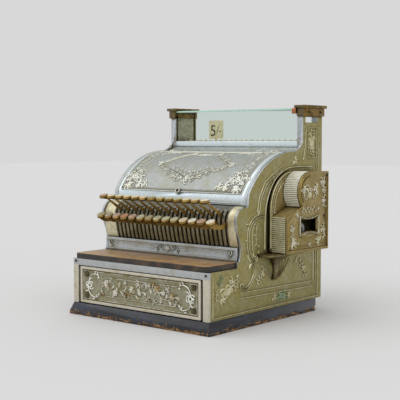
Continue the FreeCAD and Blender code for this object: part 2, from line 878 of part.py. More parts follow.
def make_lid_lock():
    barrel = lock_barrel("LockBarrel", lock_radius, lock_length)
    key_way = doc.addObject("Part::Box", "KeyWay")
    key_way.Placement = FreeCAD.Placement(
        FreeCAD.Vector(), FreeCAD.Rotation(FreeCAD.Vector(1, 0, 0), lock_tilt.value))
    bind(key_way, "Placement.Rotation.Angle", lock_tilt)
    bind(key_way, "Length", key_way_width)
    bind(key_way, "Width", lock_radius)
    bind(key_way, "Height", key_way_depth)
    across, inward, up = lock_point(key_way_depth - lock_proud)
    place(key_way, -key_way_width / 2, inward, up)
    return cut("lid_lock", barrel, key_way)


def make_lid_hinge_rod():
    reach = inner_half + rod_seat
    return rod("lid_hinge_rod", (-reach, *hinge_axis), rod_radius, reach * 2, **ALONG_X)


plate_inner = inner_half - key_end_space + plate_clearance
plate_outer = plate_inner + plate_thickness


def make_key_shaft():
    return rod("key_shaft", (-plate_outer, *shaft_axis), shaft_radius, plate_outer * 2,
               **ALONG_X)


def make_mechanism_frames():
    """Two cast plates on the deck that carry the key shaft and the tally shaft."""
    plates = []
    start = shaft_axis[0] - plate_front_reach
    end = shaft_axis[0] + plate_rear_reach
    waist = case_height + plate_waist
    neck_top = tally_axis[1] + plate_neck
    for name, inner, outer in (("LeftPlate", -plate_outer, -plate_inner),
                               ("RightPlate", plate_inner, plate_outer)):
        plate = new_body(name)
        add_prism(plate, "YZ_Plane", inner, outer, [
            line(start, case_height), line(end, case_height), line(end, waist),
            line(tally_axis[0] + plate_neck, neck_top),
            line(tally_axis[0] - plate_neck, neck_top), line(start, waist)],
            circle(*shaft_axis, shaft_radius),
            circle(*tally_axis, tally_shaft_radius + running_fit))
        plates.append(plate)
    return group("mechanism_frames", *plates)


def make_counter_wheels():
    """Counting wheels fixed on one shaft that turns in the two plates."""
    shaft = rod("TallyShaft", (-plate_outer, *tally_axis), tally_shaft_radius,
                plate_outer * 2, **ALONG_X)
    wheels = []
    count = int(tally_wheel_count.value)
    for index in range(count):
        centre = tally_wheel_pitch * (index - (count - 1) / 2)
        wheel = new_body(f"TallyWheel{index + 1}")
        add_prism(wheel, "YZ_Plane", centre - tally_wheel_width / 2,
                  centre + tally_wheel_width / 2,
                  circle(*tally_axis, tally_wheel_radius),
                  circle(*tally_axis, tally_shaft_radius))
        wheels.append(wheel)
    return group("counter_wheels", shaft, *wheels)


def make_bell():
    """A shallow gong, open below, held by the post that passes through its crown."""
    rim = case_height + bell_post_height
    centre = shaft_axis[0] - bell_lead
    reach = bell_radius - bell_skin
    rise = bell_height - bell_skin
    gong = new_body("Gong")
    sketch = new_sketch(gong, "XZ_Plane", 0, [[
        arc(0, rise, dome_radius(reach, rise)), line(0, bell_height),
        arc(bell_radius, 0, -dome_radius(bell_radius, bell_height)), line(reach, 0)]])
    turned = gong.newObject("PartDesign::Revolution", "Turned")
    turned.Profile = sketch
    turned.ReferenceAxis = (sketch, ["V_Axis"])
    turned.Angle = 360
    place(gong, 0, centre, rim)
    post_length = bell_post_height + bell_height
    bore = rod("GongBore", (0, centre, case_height), bell_post_radius, post_length)
    post = rod("BellPost", (0, centre, case_height), bell_post_radius, post_length)
    return group("bell", cut("GongOnPost", gong, bore), post)


def dome_radius(reach, rise):
    """Radius of the sphere that a cap of this reach and rise is cut from."""
    return (reach * reach + rise * rise) / (rise * 2)


tablet_pitch = ((window_half - tablet_margin) * 2 + tablet_gap) / (key_count - 1 + tablet_rows)
tablet_width = tablet_pitch * tablet_rows - tablet_gap
first_row = back(tower_set) + tablet_row_set
lowered_top = sill_height + tablet_show
rest_top = lowered_top - tablet_height - stem_length


def make_tablet(label, index, lift):
    """A price tablet: flag, pointed tip and stem, standing in its own row of the guide."""
    across = tablet_pitch * (index - (key_count - 1) / 2)
    centre = first_row + tablet_row_pitch * (index % int(tablet_rows.value))
    foot = rest_top + lift
    flag_foot = foot + stem_length
    flag_top = flag_foot + tablet_height
    body = new_body(label)
    add_prism(body, "XZ_Plane", centre - tablet_thickness / 2, centre + tablet_thickness / 2, [
        line(across - stem_width / 2, foot), line(across + stem_width / 2, foot),
        line(across + stem_width / 2, flag_foot), line(across + tablet_width / 2, flag_foot),
        line(across + tablet_width / 2, flag_top), line(across + tablet_tip, flag_top),
        line(across, flag_top + tablet_tip), line(across - tablet_tip, flag_top),
        line(across - tablet_width / 2, flag_top), line(across - tablet_width / 2, flag_foot),
        line(across - stem_width / 2, flag_foot)])
    return body


def make_tablets():
    raised = int(raised_place.value)
    lowered = [make_tablet(f"Tablet{index + 1}", index, as_size(0))
               for index in range(int(key_count.value)) if index != raised]
    return [make_tablet("raised_tablet", raised, tablet_rise),
            group("lowered_tablets", *lowered)]


def make_tablet_guide():
    """Slotted plate behind the sill, and the bar that the lowered stems stand on."""
    top = sill_height - sill_drop + guide_thickness
    plate = new_body("GuidePlate")
    start = back(tower_set) + sill_depth
    add_prism(plate, "XY_Plane", top - guide_thickness, top,
              rectangle(-window_half, window_half, start, rear_inner))
    for row in range(int(tablet_rows.value)):
        centre = first_row + tablet_row_pitch * row
        half = tablet_thickness / 2 + guide_gap
        cut_prism(plate, "XY_Plane", top - guide_thickness, top,
                  rectangle(guide_margin - window_half, window_half - guide_margin,
                            centre - half, centre + half))
    rest = block("TabletRest",
                 (-inner_half, first_row - tablet_row_pitch, rest_top - rest_thickness),
                 (inner_half, first_row + tablet_row_pitch * tablet_rows, rest_top))
    return group("tablet_guide", plate, rest)


drawer_half = opening_half - drawer_side_gap
drawer_foot = plinth_height + drawer_foot_gap
drawer_top = plinth_height + opening_height - drawer_top_gap
box_front = back(drawer_front_thickness)
box_foot = plinth_height + runner_height + slide_gap
box_top = plinth_height + opening_height - box_top_gap
box_half = drawer_half - box_side_gap


def make_drawer_front():
    body = new_body("drawer_front")
    add_prism(body, "XZ_Plane", front, box_front,
              rectangle(-drawer_half, drawer_half, drawer_foot, drawer_top))
    cut_prism(body, "XZ_Plane", front, front + drawer_sink,
              rectangle(drawer_border - drawer_half, drawer_half - drawer_border,
                        drawer_foot + drawer_border, drawer_top - drawer_border))
    return body


def make_drawer_box():
    """Wooden till: coin cups in front, note bins behind, all open above."""
    body = new_body("drawer_box")
    box_back = box_front + box_depth
    add_prism(body, "XY_Plane", box_foot, box_top,
              rectangle(-box_half, box_half, box_front, box_back))
    cups_end = box_front + box_wall + cup_length
    for count, start, end in ((cup_count, box_front + box_wall, cups_end),
                              (bin_count, cups_end + box_wall, box_back - box_wall)):
        number = int(count.value)
        width = (box_half * 2 - box_wall * (number + 1)) / number
        for index in range(number):
            left = box_wall - box_half + (width + box_wall) * index
            cut_prism(body, "XY_Plane", box_foot + box_floor, box_top,
                      rectangle(left, left + width, start, end))
    return body


def make_drawer_runners():
    runners = []
    start = box_front + box_wall
    for name, sign in (("LeftRunner", -1), ("RightRunner", 1)):
        centre = (box_half - runner_inset) * sign
        runners.append(block(name, (centre - runner_width / 2, start, plinth_height),
                             (centre + runner_width / 2, box_front + box_depth,
                              plinth_height + runner_height)))
    return group("drawer_runners", *runners)


flange_inner = half_width + printer_gap
flange_outer = flange_inner + flange_thickness
cover_inner = flange_outer + printer_width
cover_outer = cover_inner + cover_thickness
printer_front = back(printer_set)
printer_back = printer_front + printer_depth
printer_step = printer_foot + printer_step_rise
notch = (printer_front + notch_run, printer_step + notch_rise)
drum = (notch[0] + drum_run, notch[1] + drum_rise)
drum_top = drum[1] + drum_radius
flange_front = printer_front - flange_lead
flange_foot = printer_foot + flange_foot_rise
flange_top = drum_top + flange_top_rise
spindle_axis = (printer_front + ticket_window_run + spindle_run,
                printer_foot + ticket_window_rise + spindle_rise)


def flange_outline(inset):
    """Back plate of the printer: straight behind and below, arched at its upper front."""
    return [
        line(flange_front + inset, flange_foot + inset),
        line(printer_back - inset, flange_foot + inset),
        line(printer_back - inset, flange_top - inset),
        line(flange_front + flange_arch_run, flange_top - inset),
        arc(flange_front + inset, flange_foot + flange_spring_rise, flange_radius - inset)]


def printer_outline():
    """Side view of the printer's case: upright front, sloping step, drum and square back."""
    return [
        line(printer_front, printer_foot), line(printer_back, printer_foot),
        line(printer_back, drum_top), line(drum[0], drum_top),
        arc(*notch, drum_radius), line(printer_front, printer_step)]


def make_printer_housing():
    body = new_body("printer_housing")
    add_prism(body, "YZ_Plane", half_width, flange_inner, flange_outline(flange_inset))
    add_prism(body, "YZ_Plane", flange_inner, flange_outer, flange_outline(as_size(0)))
    add_prism(body, "YZ_Plane", flange_outer, cover_inner, printer_outline())
    room_back = printer_back - printer_wall
    room_top = printer_step - printer_wall
    cut_prism(body, "YZ_Plane", flange_outer, cover_inner,
              rectangle(printer_front + printer_wall, room_back,
                        printer_foot + printer_wall, room_top))
    cut_prism(body, "YZ_Plane", flange_outer, cover_inner,
              circle(*drum, drum_radius - printer_wall))
    cut_prism(body, "YZ_Plane", flange_outer, cover_inner,
              rectangle(drum[0], room_back, room_top, drum_top - printer_wall))
    cut_prism(body, "YZ_Plane", flange_outer - spindle_seat, flange_outer,
              circle(*spindle_axis, spindle_radius + running_fit))
    return body


def make_printer_cover():
    """Outer plate with a window whose four edges bow inwards."""
    body = new_body("printer_cover")
    left = printer_front + ticket_window_run
    right = left + ticket_window_length
    low = printer_foot + ticket_window_rise
    high = low + ticket_window_height
    add_prism(body, "YZ_Plane", cover_inner, cover_outer, printer_outline())
    cut_prism(body, "YZ_Plane", cover_inner, cover_outer, [
        arc(left, low, -ticket_window_end_bow), arc(right, low, -ticket_window_bow),
        arc(right, high, -ticket_window_end_bow), arc(left, high, -ticket_window_bow)])
    return body


def make_type_wheels():
    """Printing wheels on a spindle whose inner end turns in the printer's back plate."""
    start = flange_outer - spindle_seat
    spindle = rod("TypeSpindle", (start, *spindle_axis), spindle_radius,
                  spindle_seat + printer_width - wheel_end_gap, **ALONG_X)
    wheels = []
    for index in range(int(type_wheel_count.value)):
        outer = cover_inner - type_wheel_width - type_wheel_pitch * index
        wheel = new_body(f"TypeWheel{index + 1}")
        add_prism(wheel, "YZ_Plane", outer - type_wheel_width, outer,
                  circle(*spindle_axis, type_wheel_radius),
                  circle(*spindle_axis, spindle_radius))
        wheels.append(wheel)
    return group("type_wheels", spindle, *wheels)


def make_printer_bracket():
    """Console under the printer: a shelf and a slim leg that draws in to the wall."""
    shelf_foot = printer_foot - shelf_thickness
    shelf_front = printer_front - shelf_lead
    shelf = block("BracketShelf", (half_width, shelf_front, shelf_foot),
                  (half_width + bracket_width, shelf_front + shelf_length, printer_foot))
    tip = shelf_front + leg_run
    tip_height = shelf_foot - leg_drop
    flanks = new_body("BracketFlanks")
    add_prism(flanks, "YZ_Plane", half_width, half_width + leg_reach, [
        arc(tip - leg_tip / 2, tip_height, -leg_front_curve),
        line(tip + leg_tip / 2, tip_height),
        arc(shelf_front + shelf_length - leg_rear_margin, shelf_foot, -leg_curve),
        line(shelf_front + leg_front_margin, shelf_foot)])
    corbel = new_body("BracketCorbel")
    add_prism(corbel, "XZ_Plane", shelf_front, shelf_front + shelf_length, [
        line(half_width, tip_height), line(half_width + leg_tip_reach, tip_height),
        arc(half_width + leg_reach, shelf_foot, -leg_front_curve),
        line(half_width, shelf_foot)])
    leg = join("BracketLeg", "Part::MultiCommon", flanks, corbel)
    return fuse("printer_bracket", shelf, leg)


def make_screws():
    """Round heads on the front frame, the column caps and the printer cover."""
    heads = []
    for sign in (-1, 1):
        across = (half_width - frame_stile / 2) * sign
        heads.append(rod("FrameScrew", (across, front, case_height - frame_thickness),
                         screw_radius, screw_head, (1, 0, 0), 90))
        cap_side = half_width + cap_block_reach
        start = cap_side if sign > 0 else -cap_side - screw_head
        for distance in (back(tower_set) + cap_screw_margin, rear_inner):
            heads.append(rod("CapScrew", (start, distance, tower_height + cap_block_height / 2),
                             screw_radius, screw_head, **ALONG_X))
    low = printer_foot + screw_margin
    high = drum_top - screw_margin
    for across, up in ((printer_front + screw_margin, low), (printer_back - screw_margin, low),
                       (printer_back - screw_margin, high)):
        heads.append(rod("CoverScrew", (cover_outer, across, up),
                         screw_radius, screw_head, **ALONG_X))
    return group("screws", *heads)


def build_all():
    keys = [make_key(index) for index in range(int(key_count.value))]
    return keys + [
        make_plinth(), make_front_frame(), make_side("left_side", -1),
        make_side("right_side", 1), make_rear_cover(), make_counter_slab(), make_deck(),
        make_breast_moulding(), make_key_comb(), make_top_deck(), make_window_sill(),
        *make_glass(), make_column_caps(), make_glass_clip(), make_lid(),
        make_lid_lock(), make_lid_hinge_rod(), make_key_shaft(), make_mechanism_frames(),
        make_counter_wheels(), make_bell(), *make_tablets(), make_tablet_guide(),
        make_drawer_front(), make_drawer_box(), make_drawer_runners(),
        make_printer_housing(), make_printer_cover(), make_type_wheels(),
        make_printer_bracket(), make_screws(),
    ]


nodes = build_all()
doc.recompute()
for item in doc.Objects:
    if "Invalid" in item.State or "Error" in item.State:
        raise RuntimeError(f"{item.Label} did not recompute")
os.makedirs("parts", exist_ok=True)
for node in nodes:
    if node.Shape.isNull() or not node.Shape.isValid():
        raise RuntimeError(f"{node.Label} has no valid shape")
    node.Shape.exportStep(f"parts/{node.Label}.step")
    print(node.Label, round(node.Shape.Volume), len(node.Shape.Solids))
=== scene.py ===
"""The looks of a ticket register: finishes, cast ornament, key tops, printed tablet and studio.

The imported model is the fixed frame. Every piece here is modelled in millimetres in that frame and
then scaled to metres. "Back" is a distance behind the front face of the cabinet.
"""
import math
from functools import partial

import bmesh
import bpy
from bpy.props import FloatProperty, FloatVectorProperty, PointerProperty
from mathutils import Matrix, Vector


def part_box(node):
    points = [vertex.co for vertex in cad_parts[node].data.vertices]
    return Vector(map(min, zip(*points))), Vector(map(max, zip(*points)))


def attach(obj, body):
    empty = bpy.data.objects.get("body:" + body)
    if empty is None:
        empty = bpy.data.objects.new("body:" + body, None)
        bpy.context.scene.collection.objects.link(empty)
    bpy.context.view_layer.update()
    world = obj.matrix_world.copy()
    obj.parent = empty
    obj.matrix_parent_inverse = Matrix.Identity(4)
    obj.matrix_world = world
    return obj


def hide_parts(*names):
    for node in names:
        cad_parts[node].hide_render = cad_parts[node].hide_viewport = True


bl_info = {"name": "Ticket register", "version": (1, 0, 0), "blender": (4, 5, 0),
    "location": "3D View > Sidebar > Register",
    "description": "Dresses the packed ticket register in its finishes and cast ornament",
    "category": "Object"}

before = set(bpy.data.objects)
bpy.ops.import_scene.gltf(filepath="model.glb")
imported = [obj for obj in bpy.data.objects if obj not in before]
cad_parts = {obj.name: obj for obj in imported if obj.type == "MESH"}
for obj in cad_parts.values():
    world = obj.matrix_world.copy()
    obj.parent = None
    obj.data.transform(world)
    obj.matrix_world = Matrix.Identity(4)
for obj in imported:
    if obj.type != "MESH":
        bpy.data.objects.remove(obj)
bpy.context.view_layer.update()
MM = 0.001


def reach(node):
    """The lowest and highest corner of a node, in millimetres."""
    low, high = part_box(node)
    return low / MM, high / MM


FRONT = reach("front_frame")[0].y
HALF_WIDTH = reach("right_side")[1].x
DRAWER_LOW, DRAWER_HIGH = reach("drawer_front")
MOULDING_LOW, MOULDING_HIGH = reach("breast_moulding")
HOUSING_LOW, HOUSING_HIGH = reach("printer_housing")
COVER_LOW, COVER_HIGH = reach("printer_cover")
TABLET_LOW, TABLET_HIGH = reach("raised_tablet")
SILL_FOOT = reach("window_sill")[0].z
PANEL_SINK = 2.5

# A face looks along an axis when its normal has this share on it.
FACING = 0.7

# The lid's curve: a short upright foot, then one arc up to the deck.
LID_FOOT = Vector((136.0, 264.1))
LID_KNEE = Vector((138.7, 289.5))
ROOF_END = Vector((309.0, 380.7))
LID_RADIUS = 203.0
LID_STRIP = 184.0
LOCK_TILT = math.radians(60)
LOCK_LENGTH = 16.0
RING_RADIUS = 5.2

# The comb's smooth ends in width, and the level at which its slats turn away from the light.
COMB_ENDS = (-164.0, 179.0)
COMB_TURN = 236.0

# The printer's outline in back and height.
PRINTER_FRONT = 210.5
PRINTER_FOOT = 154.5
PRINTER_STEP = 236.0
PRINTER_NOTCH = Vector((271.0, 256.0))
DRUM_TOP = Vector((302.0, 335.0))
DRUM_RADIUS = 45.0
REED_PITCH = 4.45
REED_LOW = 213.6

# The printer's back plate: straight up its front, then one arc to its crown.
FLANGE_FOOT = 158.0
FLANGE_SPRING = Vector((204.5, FLANGE_FOOT + 82))
FLANGE_CROWN = Vector((282.0, 337.0))
FLANGE_RADIUS = 88.0

# The console's leg draws in from its shoulder to its tip.
LEG_TOP = reach("printer_bracket")[1].z - 5
LEG_SHOULDER = 235.0
LEG_TIP = 214.0
LEG_DROP = 56.0

# The keys: their caps' under-face centres in back and height.
KEY_COUNT = 27
KEY_PITCH = 12.7
KEY_SHIFT = 7.5
UPPER_CAP = Vector((42.0, 273.0))
LOWER_CAP = Vector((47.0, 228.0))
CAP_RADIUS = 10.4
UPPER_TILT = 10.0
LOWER_TILT = 24.0
CAP_RISE = 8.0
RING_HEIGHT = 5.5

# The studio camera's place in metres, and its tilt from straight down and turn in degrees.
CAMERA_PLACE = (1.4263, -1.6857, 0.4055)
CAMERA_TILT = 86.39
CAMERA_TURN = 39.82

# A raised line has this many sides and reaches this far under its surface.
STROKE_SIDES = 8
SUNK = 0.4

# Vertices this close are one; an edge bent by more degrees than these is rounded or shaded crisp.
MERGED = 0.004
ROUNDED = 30
CRISP = 38


def linear(hex_colour, alpha=1.0):
    """An sRGB hex colour as the linear colour that a shader takes."""
    value = hex_colour.lstrip("#")
    channels = [int(value[place:place + 2], 16) / 255 for place in (0, 2, 4)]
    return tuple(
        channel / 12.92 if channel <= 0.04045 else ((channel + 0.055) / 1.055) ** 2.4
        for channel in channels
    ) + (alpha,)


def colour_property(name, description, hex_colour):
    """A colour that a user may change in the sidebar."""
    return FloatVectorProperty(
        name=name, description=description, subtype="COLOR", size=4, min=0.0, max=1.0,
        default=linear(hex_colour),
    )


class RegisterSizes(bpy.types.PropertyGroup):
    edge_round: FloatProperty(
        name="Edge rounding", description="Radius worn on the castings' edges",
        default=0.8 * MM, unit="LENGTH",
    )
    relief_height: FloatProperty(
        name="Relief height", description="How far the cast scrolls stand proud",
        default=2.2 * MM, unit="LENGTH",
    )
    camera_lens: FloatProperty(
        name="Lens", description="Focal length of the studio camera, in millimetres",
        default=84.5, subtype="DISTANCE_CAMERA",
    )


class RegisterColours(bpy.types.PropertyGroup):
    nickel: colour_property("Nickel", "Bright plate on the front castings", "#D6D0BE")
    lid_nickel: colour_property("Lid nickel", "Bright plate on the lid", "#AEB3B0")
    brass: colour_property("Worn brass", "Brass bared on the sides", "#A0955C")
    walnut: colour_property("Walnut", "Varnished counter slab", "#B58F5E")
    paint: colour_property("Black paint", "Painted plinth", "#15171E")
    celluloid: colour_property("Key top", "Ivory coloured key tops", "#D8CDB0")
    enamel: colour_property("Tablet", "Cream enamel of the amount tablets", "#FBEBC0")
    backdrop: colour_property("Backdrop", "Floor and background", "#D7D7D7")


def sizes():
    return bpy.context.scene.register_sizes


def colours():
    return bpy.context.scene.register_colours


# Shader nodes and finishes

def add_node(tree, kind, inputs=None, **settings):
    """Adds a node with its settings; an input is a value, a socket or a node whose first output feeds it."""
    node = tree.nodes.new(kind)
    for name, value in settings.items():
        setattr(node, name, value)
    for name, value in (inputs or {}).items():
        if isinstance(value, bpy.types.Node):
            value = next(socket for socket in value.outputs if socket.enabled)
        if isinstance(value, bpy.types.NodeSocket):
            tree.links.new(value, node.inputs[name])
        else:
            node.inputs[name].default_value = value
    return node


def new_material(name):
    """A material without nodes, what adds nodes to it, and the object's own coordinates."""
    material = bpy.data.materials.new(name)
    material.use_nodes = True
    material.node_tree.nodes.clear()
    add = partial(add_node, material.node_tree)
    return material, add, add("ShaderNodeTexCoord").outputs["Object"]


def plated_casting(name, plate, bared, grime, bare, patch=34.0, roughness=0.36, soil=0.3, metallic=0.7,
        sheltered=(0.5, 0.97)):
    """Cast metal under plate that has worn through in clouds, with grime kept in its recesses."""
    material, add, place = new_material(name)
    clouds = add("ShaderNodeTexNoise", {
        "Vector": place, "Scale": 1 / (patch * MM), "Detail": 5.0, "Roughness": 0.65})
    wear = add("ShaderNodeMapRange", {"Value": clouds, "From Min": bare[0], "From Max": bare[1]})
    worn = add("ShaderNodeMix", {0: wear, 6: plate, 7: bared}, data_type="RGBA")
    streaks = add("ShaderNodeTexNoise", {
        "Vector": place, "Scale": 1 / (7 * MM), "Detail": 3.0, "Roughness": 0.7})
    film = add("ShaderNodeMapRange", {"Value": streaks, "From Min": 0.38, "From Max": 0.72, "To Max": soil})
    toned = add("ShaderNodeMix", {0: film, 6: worn, 7: grime}, data_type="RGBA")
    shelter = add("ShaderNodeAmbientOcclusion", {"Distance": 6 * MM}, samples=6)
    recess = add("ShaderNodeMapRange", {
        "Value": shelter.outputs["AO"], "From Min": sheltered[0], "From Max": sheltered[1],
        "To Min": 1.0, "To Max": 0.0})
    aged = add("ShaderNodeMix", {0: recess, 6: toned, 7: grime}, data_type="RGBA")
    grain = add("ShaderNodeTexNoise", {
        "Vector": place, "Scale": 1 / (1.6 * MM), "Detail": 2.0, "Roughness": 0.5})
    gloss = add("ShaderNodeMapRange", {
        "Value": streaks, "To Min": roughness - 0.05, "To Max": roughness + 0.14})
    bump = add("ShaderNodeBump", {"Height": grain, "Strength": 0.25, "Distance": 0.25 * MM})
    shader = add("ShaderNodeBsdfPrincipled", {
        "Base Color": aged, "Metallic": metallic, "Roughness": gloss, "Normal": bump})
    add("ShaderNodeOutputMaterial", {"Surface": shader})
    return material


def plain_metal(name, colour, tarnish, roughness, metallic=1.0):
    """Machined or drawn metal with light tarnish in blotches and a fine grain."""
    material, add, place = new_material(name)
    blotches = add("ShaderNodeTexNoise", {
        "Vector": place, "Scale": 1 / (12 * MM), "Detail": 4.0, "Roughness": 0.65})
    clouds = add("ShaderNodeMapRange", {"Value": blotches, "From Min": 0.38, "From Max": 0.68})
    tone = add("ShaderNodeMix", {0: clouds, 6: colour, 7: tarnish}, data_type="RGBA")
    gloss = add("ShaderNodeMapRange", {"Value": clouds, "To Min": roughness, "To Max": roughness + 0.18})
    grain = add("ShaderNodeTexNoise", {
        "Vector": place, "Scale": 1 / (1.2 * MM), "Detail": 2.0, "Roughness": 0.5})
    bump = add("ShaderNodeBump", {"Height": grain, "Strength": 0.15, "Distance": 0.2 * MM})
    shader = add("ShaderNodeBsdfPrincipled", {
        "Base Color": tone, "Metallic": metallic, "Roughness": gloss, "Normal": bump})
    add("ShaderNodeOutputMaterial", {"Surface": shader})
    return material


def varnished_wood(name, light, dark, worn, grain=2.6, roughness=0.42):
    """Sawn hardwood with long grain along X under old varnish, rubbed pale and dark in patches."""
    material, add, place = new_material(name)
    stretched = add("ShaderNodeMapping", {"Vector": place, "Scale": (0.05, 1.0, 1.0)})
    fibres = add("ShaderNodeTexNoise", {
        "Vector": stretched, "Scale": 1 / (grain * MM), "Detail": 4.0, "Roughness": 0.6})
    lines = add("ShaderNodeMapRange", {"Value": fibres, "From Min": 0.35, "From Max": 0.68})
    tone = add("ShaderNodeMix", {0: lines, 6: light, 7: dark}, data_type="RGBA")
    clouds = add("ShaderNodeTexNoise", {
        "Vector": place, "Scale": 1 / (38 * MM), "Detail": 4.0, "Roughness": 0.6})
    rub = add("ShaderNodeMapRange", {"Value": clouds, "From Min": 0.46, "From Max": 0.66, "To Max": 0.75})
    rubbed = add("ShaderNodeMix", {0: rub, 6: tone, 7: worn}, data_type="RGBA")
    gloss = add("ShaderNodeMapRange", {
        "Value": clouds, "From Min": 0.3, "From Max": 0.7,
        "To Min": roughness - 0.1, "To Max": roughness + 0.15})
    bump = add("ShaderNodeBump", {"Height": fibres, "Strength": 0.3, "Distance": 0.3 * MM})
    shader = add("ShaderNodeBsdfPrincipled", {
        "Base Color": rubbed, "Roughness": gloss, "Coat Weight": 0.1, "Coat Roughness": 0.3, "Normal": bump})
    add("ShaderNodeOutputMaterial", {"Surface": shader})
    return material


def chipped_paint(name, paint, sheen, wood, foot):
    """Glossy black oil paint on wood: cloudy blue sheen, chips in spots, and a foot rubbed to the wood."""
    material, add, place = new_material(name)
    spots = add("ShaderNodeTexNoise", {
        "Vector": place, "Scale": 1 / (8 * MM), "Detail": 6.0, "Roughness": 0.75})
    height = add("ShaderNodeSeparateXYZ", {"Vector": place}).outputs["Z"]
    near_foot = add("ShaderNodeMapRange", {
        "Value": height, "From Min": 0.0, "From Max": 14 * MM, "To Min": 0.12, "To Max": 0.0})
    scattered = add("ShaderNodeMath", {0: spots, 1: near_foot}, operation="ADD")
    chips = add("ShaderNodeMapRange", {"Value": scattered, "From Min": 0.67, "From Max": 0.69})
    ragged = add("ShaderNodeMapRange", {
        "Value": spots, "From Min": 0.4, "From Max": 0.66, "To Max": foot * MM})
    above = add("ShaderNodeMath", {0: height, 1: ragged}, operation="SUBTRACT")
    rubbed = add("ShaderNodeMapRange", {
        "Value": above, "From Min": -0.4 * MM, "From Max": 0.4 * MM, "To Min": 1.0, "To Max": 0.0})
    bare = add("ShaderNodeMath", {0: chips, 1: rubbed}, operation="MAXIMUM")
    drawn = add("ShaderNodeMapping", {"Vector": place, "Scale": (0.25, 0.25, 1.0)})
    clouds = add("ShaderNodeTexNoise", {
        "Vector": drawn, "Scale": 1 / (14 * MM), "Detail": 4.0, "Roughness": 0.65})
    haze = add("ShaderNodeMapRange", {"Value": clouds, "From Min": 0.46, "From Max": 0.64})
    dull = add("ShaderNodeMix", {0: haze, 6: paint, 7: sheen}, data_type="RGBA")
    splinters = add("ShaderNodeTexNoise", {
        "Vector": drawn, "Scale": 1 / (4 * MM), "Detail": 3.0, "Roughness": 0.6})
    fresh = add("ShaderNodeMapRange", {"Value": splinters, "From Min": 0.44, "From Max": 0.66})
    timber = add("ShaderNodeMix", {0: fresh, 6: linear("#21180F"), 7: wood}, data_type="RGBA")
    tone = add("ShaderNodeMix", {0: bare, 6: dull, 7: timber}, data_type="RGBA")
    gloss = add("ShaderNodeMapRange", {"Value": bare, "To Min": 0.17, "To Max": 0.8})
    bump = add("ShaderNodeBump", {"Height": bare, "Strength": 0.6, "Distance": 0.4 * MM}, invert=True)
    shader = add("ShaderNodeBsdfPrincipled", {"Base Color": tone, "Roughness": gloss, "Normal": bump})
    add("ShaderNodeOutputMaterial", {"Surface": shader})
    return material


def moulded_celluloid(name, colour, stain):
    """Pressed celluloid, smooth and a little translucent, yellowed in soft clouds by handling."""
    material, add, place = new_material(name)
    handling = add("ShaderNodeTexNoise", {
        "Vector": place, "Scale": 1 / (9 * MM), "Detail": 3.0, "Roughness": 0.6})
    clouds = add("ShaderNodeMapRange", {"Value": handling, "From Min": 0.35, "From Max": 0.7})
    tone = add("ShaderNodeMix", {0: clouds, 6: colour, 7: stain}, data_type="RGBA")
    shader = add("ShaderNodeBsdfPrincipled", {
        "Base Color": tone, "Roughness": 0.34, "Subsurface Weight": 0.08,
        "Subsurface Radius": (0.002, 0.0015, 0.001), "IOR": 1.5})
    add("ShaderNodeOutputMaterial", {"Surface": shader})
    return material


def enamelled_tin(name, colour, stain):
    """Stoved enamel on tinplate: even, semi-gloss, foxed by age at a few places."""
    material, add, place = new_material(name)
    spots = add("ShaderNodeTexNoise", {
        "Vector": place, "Scale": 1 / (6 * MM), "Detail": 5.0, "Roughness": 0.7})
    foxing = add("ShaderNodeMapRange", {"Value": spots, "From Min": 0.5, "From Max": 0.72, "To Max": 0.6})
    tone = add("ShaderNodeMix", {0: foxing, 6: colour, 7: stain}, data_type="RGBA")
    shader = add("ShaderNodeBsdfPrincipled", {"Base Color": tone, "Roughness": 0.45})
    add("ShaderNodeOutputMaterial", {"Surface": shader})
    return material


def cylinder_glass(name, tint):
    """Old blown sheet glass: clear, faintly green, with a slow waviness that bends reflections."""
    material, add, place = new_material(name)
    waves = add("ShaderNodeTexNoise", {
        "Vector": place, "Scale": 1 / (60 * MM), "Detail": 1.0, "Roughness": 0.4})
    bump = add("ShaderNodeBump", {"Height": waves, "Strength": 0.2, "Distance": 1 * MM})
    shader = add("ShaderNodeBsdfPrincipled", {
        "Base Color": tint, "Roughness": 0.03, "Transmission Weight": 1.0, "IOR": 1.1, "Normal": bump})
    add("ShaderNodeOutputMaterial", {"Surface": shader})
    return material


finishes = {}


def finish(name):
    """A finish by its name, made when it is first asked for."""
    if name not in finishes:
        maker, tones, settings = FINISHES[name]
        shades = [
            linear(tone) if tone.startswith("#") else getattr(colours(), tone) for tone in tones.split()
        ]
        finishes[name] = maker(name, *shades, **settings)
    return finishes[name]


